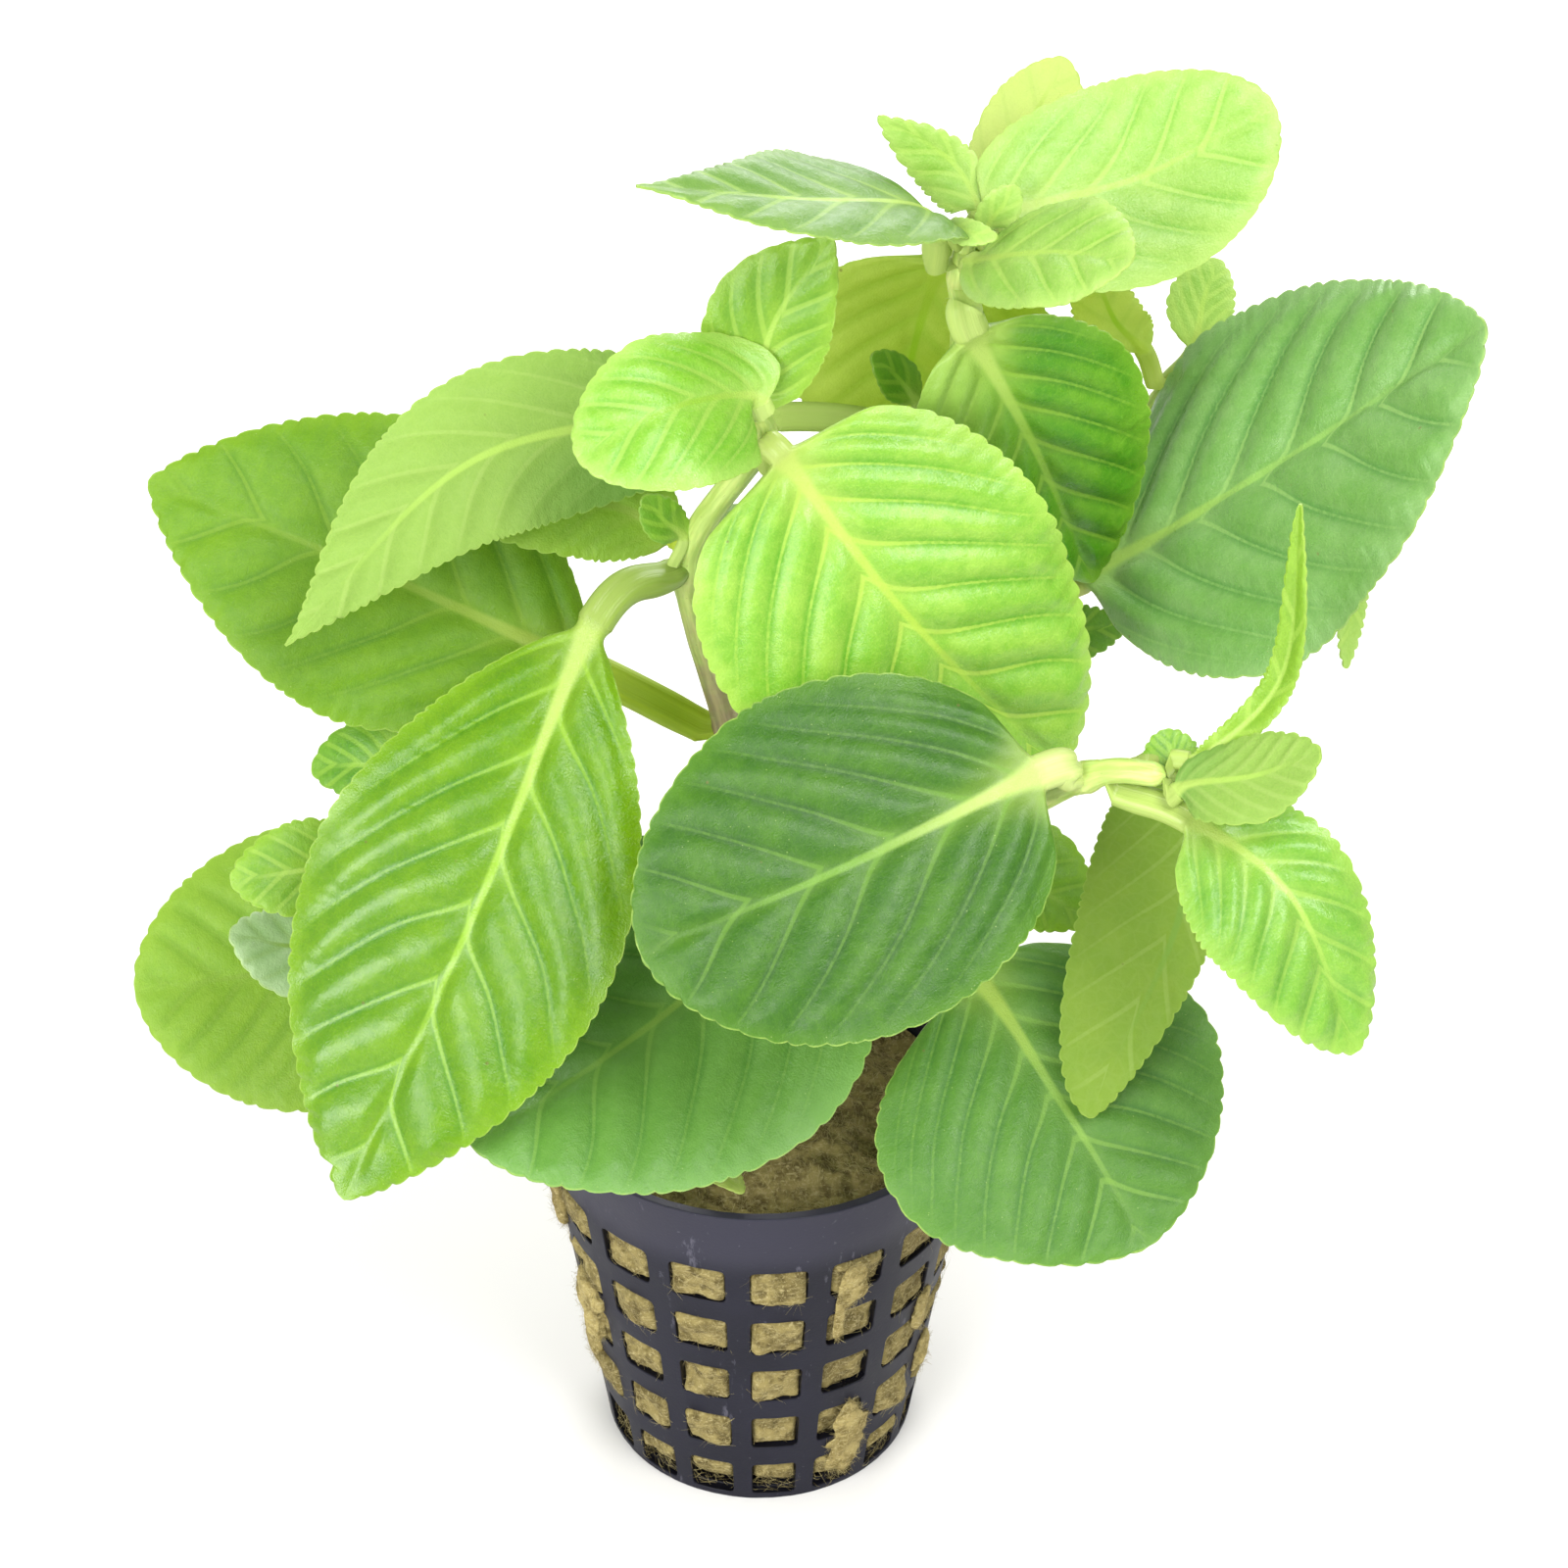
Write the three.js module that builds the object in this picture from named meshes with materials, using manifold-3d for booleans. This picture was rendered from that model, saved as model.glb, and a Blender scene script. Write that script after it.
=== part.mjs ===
// Potted rough-leaved marsh plant: five leafy shoots rooted in a mineral-wool plug, in a net pot.
// Millimetres, +Z up. The origin is the centre of the pot's underside and the plant's front is -Y.

import * as THREE from 'three';
import { mergeVertices } from 'three/addons/utils/BufferGeometryUtils.js';
import Module from 'manifold-3d';

// Driving dimensions

const GAP = 0.3; // clearance that neighbouring solids keep

const POT_HEIGHT = 50;
const POT_TOP_RADIUS = 25.2;
const POT_BOTTOM_RADIUS = 17.7;
const POT_WALL = 1.2;
const POT_FLOOR = 1.5;

const HOLE_COLUMNS = 16;
const HOLE_ROWS = 5;
const POT_SEGMENTS = 2 * HOLE_COLUMNS;
const HOLE_PHASE = 0.09; // turn of the front column towards +X
const HOLE_ANGLE = 0.271; // width of a hole, as an angle about the pot's axis
const HOLE_HEIGHT = 5.25;
const HOLE_PITCH = 8.6;
const HOLE_TOP = 40.6; // top edge of the upper row

const SLOT_COUNT = 8; // radial drain slots in the floor
const SLOT_INNER_RADIUS = 7;
const SLOT_OUTER_RADIUS = 14.5;
const SLOT_WIDTH = 3.4;

const WOOL_TOP = 46;
const WOOL_CROWN = 3; // how far the plug domes above WOOL_TOP

const STEM_SIDES = 8;
const NODE_SWELL = 0.25; // how much a stem thickens where leaves grow
const NODE_SPAN = 0.025; // how far the thickening reaches, as a share of the stem's length

const LAMINA = 0.35; // half thickness of a leaf blade
const TIP_HALF_WIDTH = 0.35;
const PETIOLE_DEPTH = 0.8; // petiole height as a share of its width
const BLADE_START = 1 / 3; // where the blade begins on a leaf's midrib curve
const FOLD = 0.15; // rise of each half blade beside the midrib, per half width
const DROOP = 0.15; // fall of the margin, per half width
const BIG_LEAF = 12; // half width from which a blade has more sections
const SMALL_LEAF = 3; // half width up to which a section has fewer corners

const COLOURS = {
  pot: [0x4b4854, 0.6],
  wool: [0xaf9f66, 1],
  stem: [0x9aa860, 0.55],
  young_leaf: [0x9ad53c, 0.42],
  leaf: [0x63a83a, 0.42],
  old_leaf: [0x5a8f57, 0.45],
};

// Leaf outlines: station of the widest place, and how bluntly the blade closes at base and tip

const ROUND = { widest: 0.48, base: 0.5, tip: 0.52 };
const OVAL = { widest: 0.47, base: 0.65, tip: 0.58 };
const POINTED = { widest: 0.44, base: 0.68, tip: 0.8 };
const WEDGE = { widest: 0.5, base: 0.85, tip: 0.78 };

// Stems, from their foot in the wool to the shoot's tip, with the radius at foot and tip.
// nodes are the shares of the length at which leaves grow.

const STEMS = {
  stem_tall: {
    path: [[5, 5, 34], [7, 8, 60], [10, 11, 82], [13, 12, 104], [20, 6.5, 132], [20, 1, 154], [20.5, -1, 160]],
    radii: [2.1, 1.2],
    nodes: [0.55, 0.77, 0.95],
  },
  stem_left: {
    path: [[-3, 0, 34], [-4, -1, 62], [-4, -2, 84], [-3.5, -2, 99], [-7.5, -2, 121], [0, -6.5, 139], [-2, -11, 147.5]],
    radii: [2.1, 1.2],
    nodes: [0.54, 0.73, 0.92],
  },
  stem_front: {
    path: [[3, -3, 34], [6, -6, 62], [8.5, -8, 79], [20, -18, 96], [33, -28, 113], [40.5, -31.5, 116]],
    radii: [1.9, 1.3],
    nodes: [0.42, 0.91],
  },
  stem_back: {
    path: [[9, 8, 34], [13, 14, 60], [20, 19, 85], [33, 22, 108], [43.5, 24, 125.5]],
    radii: [1.9, 1.1],
    nodes: [0.53, 0.8],
  },
  stem_low: {
    path: [[-7, 4, 34], [-11, 5, 58], [-19, 4, 74], [-30, -1, 83], [-39.5, -6.5, 87]],
    radii: [1.7, 1],
    nodes: [0.62],
  },
};

// Leaves by the stem that bears them: share of the stem's length where the leaf grows; start, middle
// and tip of the blade; half widths on the two sides; the way the upper face looks

const LEAVES = {
  stem_tall: [
    leaf('tall_tip_left', 0.97, [[16, -4, 165], [3, -12, 171], [-12, -16, 175]],
      [8, 10.5], [-0.1, -0.1, 1], { outline: { widest: 0.35, base: 0.55, tip: 1.1 }, tone: 'young_leaf' }),
    leaf('tall_tip_right', 0.975, [[24, 0, 162], [38, 4, 164], [51, 8, 170]],
      [9.2, 10.6], [0.05, -0.75, 0.65], { outline: ROUND, tone: 'young_leaf' }),
    leaf('tall_tip_front', 0.985, [[22, -6, 161], [29, -14, 167], [36, -20, 170]],
      [6.8, 6.8], [0.1, -0.55, 0.8], { outline: OVAL, tone: 'young_leaf', petiole: 1.2 }),
    leaf('tall_tip_rear', 0.985, [[23, 9, 157], [27, 17, 161.5], [31, 22, 167]],
      [4.8, 5.7], [0, -0.8, 0.6], { outline: OVAL, tone: 'young_leaf', petiole: 1.2 }),
    leaf('tall_tip_rear_left', 1, [[21, 1, 163.5], [18, 4, 167], [11, 4, 171.5]],
      [4.2, 3], [-0.3, -0.8, 0.5], { outline: POINTED, tone: 'young_leaf', petiole: 0.8 }),
    leaf('tall_bud_upper', 1, [[22.3, -3, 162.5], [23.5, -3, 164.5], [25.2, -2, 166.5]],
      [2, 2.2], [0.3, -0.8, 0.5], { outline: OVAL, tone: 'young_leaf', petiole: 0.6 }),
    leaf('tall_bud_lower', 1, [[18.5, -5, 163.5], [20, -8, 165], [23, -10, 165.5]],
      [1.3, 1.5], [-0.3, -0.6, 0.7], { outline: OVAL, tone: 'young_leaf', petiole: 0.6 }),
    leaf('tall_leaf_front', 0.945, [[21, -2, 149.5], [28, 0, 134], [35, 5, 113.5]],
      [14, 12.5], [0.1, -0.9, 0.42], { outline: POINTED, petiole: 1.9 }),
    leaf('tall_leaf_rear', 0.95, [[18, 8, 149.5], [14, 13, 138.5], [10, 12, 129]],
      [12, 12.5], [0.1, -0.8, 0.5], { outline: OVAL }),
    leaf('tall_bud_side', 0.77, [[16, 6, 135.5], [14, 6, 138.5], [11.3, 5, 142]],
      [2.4, 2.4], [0, -0.6, 0.8], { outline: OVAL, petiole: 0.6 }),
    leaf('tall_leaf_left', 0.765, [[2, 7, 133], [-28, -2, 135], [-49, -10, 116]],
      [9, 9], [0.25, -0.8, 0.5], { outline: WEDGE, tone: 'young_leaf' }),
    leaf('tall_leaf_right', 0.55, [[34, 8, 112], [54, 2, 131], [72.5, -4, 151.5]],
      [20, 20.8], [-0.73, -0.33, 0.59], { outline: OVAL, tone: 'old_leaf', petiole: 1.9 }),
    leaf('tall_leaf_small', 0.555, [[25.5, 17, 98], [33, 18, 97.5], [40, 19.5, 97.5]],
      [3, 3.6], [0, -0.7, 0.7], { outline: OVAL, petiole: 0.8 }),
    leaf('tall_leaf_hidden', 0.545, [[13, 22, 97], [13, 36, 88], [12, 50, 74]],
      [11, 11], [0, 0.3, 1], { outline: OVAL, tone: 'old_leaf' }),
  ],
  stem_left: [
    leaf('left_tip_front', 0.99, [[-3, -13, 149], [-9, -20, 152], [-18, -24, 149]],
      [8.5, 8.5], [-0.1, -0.7, 0.7], { outline: ROUND, tone: 'young_leaf', petiole: 1.2 }),
    leaf('left_tip_rear', 1, [[-2, -10, 149.5], [1, -8, 155], [7, -6, 163]],
      [6.8, 6], [0.1, -0.75, 0.65], { outline: POINTED, tone: 'young_leaf', petiole: 1.2 }),
    leaf('left_leaf_front', 0.915, [[2, -11, 140.5], [15, -16, 124], [31, -15, 104]],
      [18.2, 19.4], [0.05, -0.85, 0.5], { outline: { widest: 0.43, base: 0.43, tip: 0.55 }, tone: 'young_leaf' }),
    leaf('left_leaf_side', 0.75, [[-9, 3, 121.5], [-17, 5, 124], [-30, 4, 123]],
      [6, 6], [0, -0.8, 0.6], { outline: OVAL }),
    leaf('left_leaf_long', 0.74, [[-17, -10, 118], [-29, -28, 96], [-43, -44, 70]],
      [16.4, 18.2], [-0.15, -0.75, 0.65], { outline: { widest: 0.5, base: 0.95, tip: 0.8 }, petiole: 1.9 }),
    leaf('left_bud', 0.75, [[-8, -3.5, 125], [-10, -4.5, 128], [-12, -4.5, 131]],
      [2.8, 2.8], [0, -0.8, 0.6], { outline: OVAL, petiole: 0.6 }),
    leaf('left_leaf_outer', 0.555, [[-18, 2, 104], [-40, 8, 112], [-65, 14, 120]],
      [16.3, 17], [0, -0.72, 0.7], { outline: WEDGE, petiole: 1.9 }),
    leaf('left_leaf_hidden', 0.745, [[-1, 7, 117], [6, 23, 109], [12, 36, 94]],
      [10, 10], [0, 0.3, 1], { outline: OVAL }),
  ],
  stem_front: [
    leaf('front_leaf_broad', 0.91, [[28, -30, 115], [8, -38, 109], [-12, -44, 103]],
      [17.4, 18.8], [-0.1, -0.75, 0.66], { outline: ROUND, tone: 'old_leaf', petiole: 1.9 }),
    leaf('front_leaf_drooping', 0.935, [[43, -33, 111.5], [53, -40, 107], [60, -46, 92]],
      [7.8, 11.3], [0.2, -0.75, 0.65], { outline: OVAL, tone: 'young_leaf' }),
    leaf('front_tip_upper', 1, [[44.3, -30, 117.5], [51, -29, 125.5], [52.5, -28, 145]],
      [3, 3], [-0.6, -0.7, 0.3], { outline: OVAL, tone: 'young_leaf', petiole: 1, fold: 0.5 }),
    leaf('front_tip_right', 1, [[43, -33, 116.5], [49, -36, 120], [55, -38, 124.5]],
      [4.5, 5], [-0.1, -0.5, 0.85], { outline: OVAL, tone: 'young_leaf', petiole: 1 }),
    leaf('front_bud', 0.99, [[42.3, -29, 115], [41.6, -27, 116], [41, -25, 117.5]],
      [3.4, 3.4], [0, -0.6, 0.8], { outline: ROUND, petiole: 0.8 }),
    leaf('front_leaf_hanging', 0.96, [[43, -24, 111], [43.5, -24, 91.5], [34.5, -31, 70]],
      [4, 10.5], [-0.3, -0.9, 0.2], { outline: ROUND }),
    leaf('front_leaf_inner', 0.46, [[16, -8, 83], [27, -9, 84], [35.5, -11, 80.5]],
      [7.5, 5], [0, -0.6, 0.8], { outline: OVAL, tone: 'old_leaf', petiole: 1 }),
    leaf('front_leaf_low_right', 0.45, [[22, -15, 77], [32, -28, 69], [41, -39, 59]],
      [18.4, 20.6], [0.05, -0.6, 0.8], { outline: OVAL, tone: 'old_leaf', petiole: 1.9 }),
    leaf('front_leaf_low_left', 0.455, [[6, -12, 85.5], [-12, -25, 77], [-30, -38, 72]],
      [20, 18.5], [-0.1, -0.55, 0.83], { outline: { widest: 0.38, base: 0.45, tip: 0.6 }, tone: 'old_leaf' }),
  ],
  stem_back: [
    leaf('back_tip_right', 1, [[46, 25, 129.5], [47, 27, 134.5], [48.5, 29, 138.5]],
      [3.8, 3.4], [0, -0.8, 0.6], { outline: OVAL, petiole: 0.8 }),
    leaf('back_tip_left', 1, [[40.5, 22, 131.5], [37, 19, 137.5], [34, 17, 146.5]],
      [4.2, 3.4], [-0.3, -0.8, 0.5], { outline: OVAL, petiole: 1 }),
    leaf('back_leaf_curled', 0.98, [[59, 24, 115], [64, 20, 105], [64, 16, 94]],
      [2.8, 2.8], [0.3, -0.8, 0.5], { outline: OVAL, petiole: 1.2 }),
    leaf('back_leaf_hidden', 0.8, [[34, 30, 109], [36, 44, 107], [38, 58, 97]],
      [11, 11], [0, 0.3, 1], { outline: OVAL, tone: 'old_leaf' }),
    leaf('back_leaf_low', 0.53, [[20, 28, 78], [20, 42, 68], [18, 55, 54]],
      [12, 12], [0, 0.4, 1], { outline: OVAL, tone: 'old_leaf' }),
  ],
  stem_low: [
    leaf('low_leaf_outer', 0.61, [[-34, 4, 67], [-52, 4, 62], [-70, 2, 60]],
      [16.2, 15.6], [0, -0.72, 0.7], { outline: ROUND, tone: 'young_leaf' }),
    leaf('low_tip_upper', 1, [[-41, -8, 86.5], [-48, -12, 88], [-56, -14, 88]],
      [5.2, 5.4], [0, -0.7, 0.7], { outline: OVAL, petiole: 0.8 }),
    leaf('low_tip_lower', 0.98, [[-42, -8, 81], [-50, -8, 76], [-57, -10, 78]],
      [6, 5], [0, -0.5, 0.86], { outline: OVAL, tone: 'old_leaf', petiole: 0.8 }),
    leaf('low_tip_rear', 0.98, [[-38, -4, 93.5], [-42, -3, 95], [-48, -1, 93]],
      [3.8, 5], [0, -0.7, 0.7], { outline: OVAL, petiole: 0.8 }),
    leaf('low_leaf_hidden', 0.61, [[-24, 13, 75], [-33, 28, 71], [-41, 42, 60]],
      [11, 11], [0, 0.3, 1], { outline: OVAL, tone: 'old_leaf' }),
  ],
};

// A leaf tip that rises from the wool itself

const SPROUT_FOOT = [-5, -12, 42];
const SPROUT = leaf('sprout', 0, [[-5, -15, 50.5], [-4, -19, 52.5], [-2, -22.5, 53]],
  [1.8, 1.8], [0, 0.5, 0.87], { outline: OVAL, tone: 'young_leaf', petiole: 0.5 });

const wasm = await Module();
wasm.setup();

function leaf(name, at, blade, half, up, { outline, tone = 'leaf', petiole = 1.5, fold = FOLD }) {
  return { name, at, blade, half, up, outline, tone, petiole, fold };
}

function vectors(points) {
  return points.map((point) => new THREE.Vector3(...point));
}

function curveThrough(points) {
  return new THREE.CatmullRomCurve3(vectors(points), false, 'catmullrom', 0.5);
}

// Solids

function toSolid(geometry) {
  const bare = geometry.index ? geometry.clone() : geometry;
  bare.deleteAttribute('normal');
  bare.deleteAttribute('uv');
  const merged = mergeVertices(bare, 1e-5);
  return new wasm.Manifold(new wasm.Mesh({
    numProp: 3,
    vertProperties: new Float32Array(merged.attributes.position.array),
    triVerts: new Uint32Array(merged.index.array),
  }));
}

function toGeometry(solid) {
  const mesh = solid.getMesh();
  const geometry = new THREE.BufferGeometry();
  geometry.setAttribute('position', new THREE.BufferAttribute(new Float32Array(mesh.vertProperties), 3));
  geometry.setIndex(new THREE.BufferAttribute(new Uint32Array(mesh.triVerts), 1));
  geometry.computeVertexNormals();
  return geometry;
}

function largestPiece(solid) {
  const pieces = solid.decompose();
  return pieces.reduce((best, piece) => (piece.volume() > best.volume() ? piece : best));
}

// A closed solid through rings that all run the same way round the curve
function loft(rings) {
  const sides = rings[0].length;
  const points = rings.flat();
  const faces = [];
  for (let i = 0; i + 1 < rings.length; i += 1) {
    for (let j = 0; j < sides; j += 1) {
      const next = (j + 1) % sides;
      const [a, b] = [i * sides + j, i * sides + next];
      faces.push(a, b, a + sides, b, b + sides, a + sides);
    }
  }
  const lastRing = points.length - sides;
  const [startCentre, endCentre] = [points.length, points.length + 1];
  for (let j = 0; j < sides; j += 1) {
    const next = (j + 1) % sides;
    faces.push(startCentre, next, j, endCentre, lastRing + j, lastRing + next);
  }
  const centres = [rings[0], rings[rings.length - 1]].map((ring) => (
    ring.reduce((sum, point) => sum.add(point), new THREE.Vector3()).divideScalar(sides)
  ));
  const geometry = new THREE.BufferGeometry().setFromPoints([...points, ...centres]);
  geometry.setIndex(faces);
  return toSolid(geometry);
}

// Pot

function potShell() {
  const floorRadius = POT_BOTTOM_RADIUS - POT_WALL;
  const profile = [
    [0, 0],
    [POT_BOTTOM_RADIUS, 0],
    [POT_TOP_RADIUS, POT_HEIGHT],
    [POT_TOP_RADIUS - POT_WALL, POT_HEIGHT],
    [floorRadius, POT_FLOOR],
    [0, POT_FLOOR],
  ].map(([radius, height]) => new THREE.Vector2(radius, height));
  return toSolid(new THREE.LatheGeometry(profile, POT_SEGMENTS, HOLE_PHASE).rotateX(Math.PI / 2));
}

// A block through the wall with sides on radii, centred on the angle from the front towards +X
function wallHole(angle, top) {
  const reach = 6;
  const middle = top - HOLE_HEIGHT / 2;
  const wallRadius = THREE.MathUtils.lerp(POT_BOTTOM_RADIUS, POT_TOP_RADIUS, middle / POT_HEIGHT);
  const block = new THREE.BoxGeometry(HOLE_ANGLE, reach, HOLE_HEIGHT);
  const corners = block.attributes.position;
  for (let i = 0; i < corners.count; i += 1) {
    const turn = angle + corners.getX(i);
    const radius = wallRadius - corners.getY(i);
    corners.setXYZ(i, radius * Math.sin(turn), -radius * Math.cos(turn), middle + corners.getZ(i));
  }
  return toSolid(block);
}

function floorSlot(angle) {
  const length = SLOT_OUTER_RADIUS - SLOT_INNER_RADIUS;
  const block = new THREE.BoxGeometry(length, SLOT_WIDTH, 4 * POT_FLOOR);
  block.translate((SLOT_INNER_RADIUS + SLOT_OUTER_RADIUS) / 2, 0, 0).rotateZ(angle);
  return toSolid(block);
}

function netPot() {
  const cutters = [];
  for (let column = 0; column < HOLE_COLUMNS; column += 1) {
    for (let row = 0; row < HOLE_ROWS; row += 1) {
      const angle = HOLE_PHASE + column * 2 * Math.PI / HOLE_COLUMNS;
      cutters.push(wallHole(angle, HOLE_TOP - row * HOLE_PITCH));
    }
  }
  for (let slot = 0; slot < SLOT_COUNT; slot += 1) {
    cutters.push(floorSlot((slot + 0.5) * 2 * Math.PI / SLOT_COUNT));
  }
  return cutters.reduce((shell, cutter) => shell.subtract(cutter), potShell());
}

function woolPlug(rooted) {
  const slope = (POT_TOP_RADIUS - POT_BOTTOM_RADIUS) / POT_HEIGHT;
  const radiusAt = (height) => POT_BOTTOM_RADIUS + slope * height - POT_WALL - GAP;
  const bottom = POT_FLOOR + GAP;
  const shoulder = WOOL_TOP - 2;
  const profile = [
    [0, bottom],
    [radiusAt(bottom), bottom],
    [radiusAt(shoulder), shoulder],
    [radiusAt(WOOL_TOP) - 2.5, WOOL_TOP],
    [radiusAt(WOOL_TOP) / 2, WOOL_TOP + 0.8 * WOOL_CROWN],
    [0, WOOL_TOP + WOOL_CROWN],
  ].map(([radius, height]) => new THREE.Vector2(radius, height));
  const plug = toSolid(new THREE.LatheGeometry(profile, HOLE_COLUMNS, HOLE_PHASE).rotateX(Math.PI / 2));
  return largestPiece(rooted.reduce((cut, stem) => cut.subtract(stem), plug));
}

// Stems

function stemRadius({ radii, nodes }, share) {
  const plain = THREE.MathUtils.lerp(radii[0], radii[1], share);
  const nearest = Math.min(...nodes.map((node) => Math.abs(share - node)));
  return plain * (1 + NODE_SWELL * Math.max(0, 1 - nearest / NODE_SPAN));
}

function stemShares({ path, nodes }) {
  const steps = path.length;
  const even = Array.from({ length: steps + 1 }, (_, i) => i / steps);
  const clear = even.filter((share) => nodes.every((node) => Math.abs(share - node) > 2 * NODE_SPAN));
  const around = nodes.flatMap((node) => [node - NODE_SPAN, node, node + NODE_SPAN]);
  return [...clear, ...around].sort((a, b) => a - b);
}

function stemSolid(stem, swell = 0) {
  const curve = curveThrough(stem.path);
  const across = new THREE.Vector3(0, 1, 0);
  const rings = stemShares(stem).map((share) => {
    const centre = curve.getPointAt(share);
    const along = curve.getTangentAt(share);
    const side = new THREE.Vector3().crossVectors(across, along).normalize();
    const back = new THREE.Vector3().crossVectors(along, side);
    const radius = stemRadius(stem, share) + swell;
    return Array.from({ length: STEM_SIDES }, (_, i) => {
      const angle = 2 * Math.PI * i / STEM_SIDES;
      return centre.clone()
        .addScaledVector(side, radius * Math.cos(angle))
        .addScaledVector(back, radius * Math.sin(angle));
    });
  });
  return loft(rings);
}

// Leaves

function outlineShare({ widest, base, tip }, s) {
  if (s <= 0 || s >= 1) return 0;
  if (s < widest) return Math.sin(Math.PI / 2 * s / widest) ** base;
  return Math.cos(Math.PI / 2 * (s - widest) / (1 - widest)) ** tip;
}

function leafStations(big) {
  const steps = big ? 7 : 5;
  const petiole = [0, 0.17];
  const blade = Array.from({ length: steps + 1 }, (_, i) => (
    BLADE_START + (1 - BLADE_START) * (1 - Math.cos(Math.PI * i / steps)) / 2
  ));
  return [...petiole, ...blade];
}

// Where a petiole starts: beside its stem, on the side the leaf grows towards
function leafFoot(item, stem) {
  const curve = curveThrough(stem.path);
  const centre = curve.getPointAt(item.at);
  const axis = curve.getTangentAt(item.at);
  const away = new THREE.Vector3(...item.blade[0]).sub(centre);
  const outward = away.clone().addScaledVector(axis, -away.dot(axis)).normalize();
  const lean = Math.sin(away.angleTo(outward));
  const distance = stemRadius(stem, item.at) + GAP + item.petiole * lean;
  return centre.addScaledVector(outward, distance).toArray();
}

// Cross-section of a leaf: a rounded petiole that flattens into a thin blade with a keel below
function leafRing(item, curve, t, sides, swell) {
  const s = Math.max(0, (t - BLADE_START) / (1 - BLADE_START));
  const flatness = THREE.MathUtils.smoothstep(s, 0, 0.12);
  const along = curve.getTangent(t);
  const side = curve.getTangent(Math.max(t, BLADE_START)).cross(new THREE.Vector3(...item.up));
  side.addScaledVector(along, -side.dot(along)).normalize();
  const normal = new THREE.Vector3().crossVectors(side, along);
  const share = outlineShare(item.outline, s);
  const rib = item.petiole * Math.sqrt(1 - s);
  return Array.from({ length: sides }, (_, i) => {
    const angle = Math.PI - 2 * Math.PI * i / sides;
    const across = Math.cos(angle);
    const above = Math.sin(angle);
    const half = Math.hypot(share * item.half[across < 0 ? 0 : 1], rib, TIP_HALF_WIDTH);
    const bend = flatness * half * (item.fold * Math.abs(across) - DROOP * across ** 2);
    const keelShare = (above > 0 ? 1 - flatness : 1) * (1 - Math.abs(across)) ** (1 + flatness);
    const depth = LAMINA + PETIOLE_DEPTH * rib * keelShare;
    return curve.getPoint(t)
      .addScaledVector(side, across * (half + swell))
      .addScaledVector(normal, bend + above * (depth + swell));
  });
}

function leafSolid(item, foot, swell = 0) {
  const widest = Math.max(...item.half);
  const sides = widest > SMALL_LEAF ? 8 : 6;
  const curve = curveThrough([foot, ...item.blade]);
  return loft(leafStations(widest >= BIG_LEAF).map((t) => leafRing(item, curve, t, sides, swell)));
}

// A leaf, cut clear of the stem and of the leaves already placed wherever it would meet them
function placedLeaf(item, foot, neighbours) {
  return neighbours.reduce((solid, { body, room }) => {
    const meets = solid.intersect(body).volume() > 0;
    return meets ? largestPiece(solid.subtract(room)) : solid;
  }, leafSolid(item, foot));
}

// Assembly

const plant = new THREE.Group();

function add(name, solid, slot) {
  const [color, roughness] = COLOURS[slot];
  const material = new THREE.MeshStandardMaterial({ color, roughness, metalness: 0 });
  const mesh = new THREE.Mesh(toGeometry(solid), material);
  mesh.name = name;
  plant.add(mesh);
}

add('net_pot', netPot(), 'pot');

const rootRooms = Object.values(STEMS).map((stem) => stemSolid(stem, GAP));
add('wool_plug', woolPlug([...rootRooms, leafSolid(SPROUT, SPROUT_FOOT, GAP)]), 'wool');
add(SPROUT.name, leafSolid(SPROUT, SPROUT_FOOT), SPROUT.tone);

for (const [stemName, stem] of Object.entries(STEMS)) {
  add(stemName, stemSolid(stem), 'stem');
  const placed = [{ body: stemSolid(stem), room: stemSolid(stem, GAP) }];
  for (const item of LEAVES[stemName]) {
    const foot = leafFoot(item, stem);
    add(item.name, placedLeaf(item, foot, placed), item.tone);
    placed.push({ body: leafSolid(item, foot), room: leafSolid(item, foot, GAP) });
  }
}

export default plant;
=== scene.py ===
"""Looks of the potted marsh plant: ribbed, toothed leaves on five stems, mineral wool and a net pot.

Points and sizes are in millimetres in the row frame, as in the part's source.
MM turns them into metres.
"""

import math

import bpy
import numpy as np
from mathutils import Matrix, Vector


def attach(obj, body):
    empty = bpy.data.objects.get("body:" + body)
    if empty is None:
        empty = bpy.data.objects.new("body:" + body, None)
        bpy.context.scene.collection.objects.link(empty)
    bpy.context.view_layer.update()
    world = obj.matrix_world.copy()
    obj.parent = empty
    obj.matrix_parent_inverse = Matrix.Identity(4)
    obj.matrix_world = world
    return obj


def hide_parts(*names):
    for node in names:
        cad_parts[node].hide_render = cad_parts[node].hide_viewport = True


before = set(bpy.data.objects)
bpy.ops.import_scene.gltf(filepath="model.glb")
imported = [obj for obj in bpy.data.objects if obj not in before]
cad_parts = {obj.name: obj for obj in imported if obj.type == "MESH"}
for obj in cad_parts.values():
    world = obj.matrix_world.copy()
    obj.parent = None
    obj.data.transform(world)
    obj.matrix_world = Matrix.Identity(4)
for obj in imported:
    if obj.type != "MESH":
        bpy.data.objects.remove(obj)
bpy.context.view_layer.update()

MM = 0.001
FIBRE_SHARE = 1.0  # share of the wool fibres and hairs that is made

# Sizes of the net pot

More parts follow.
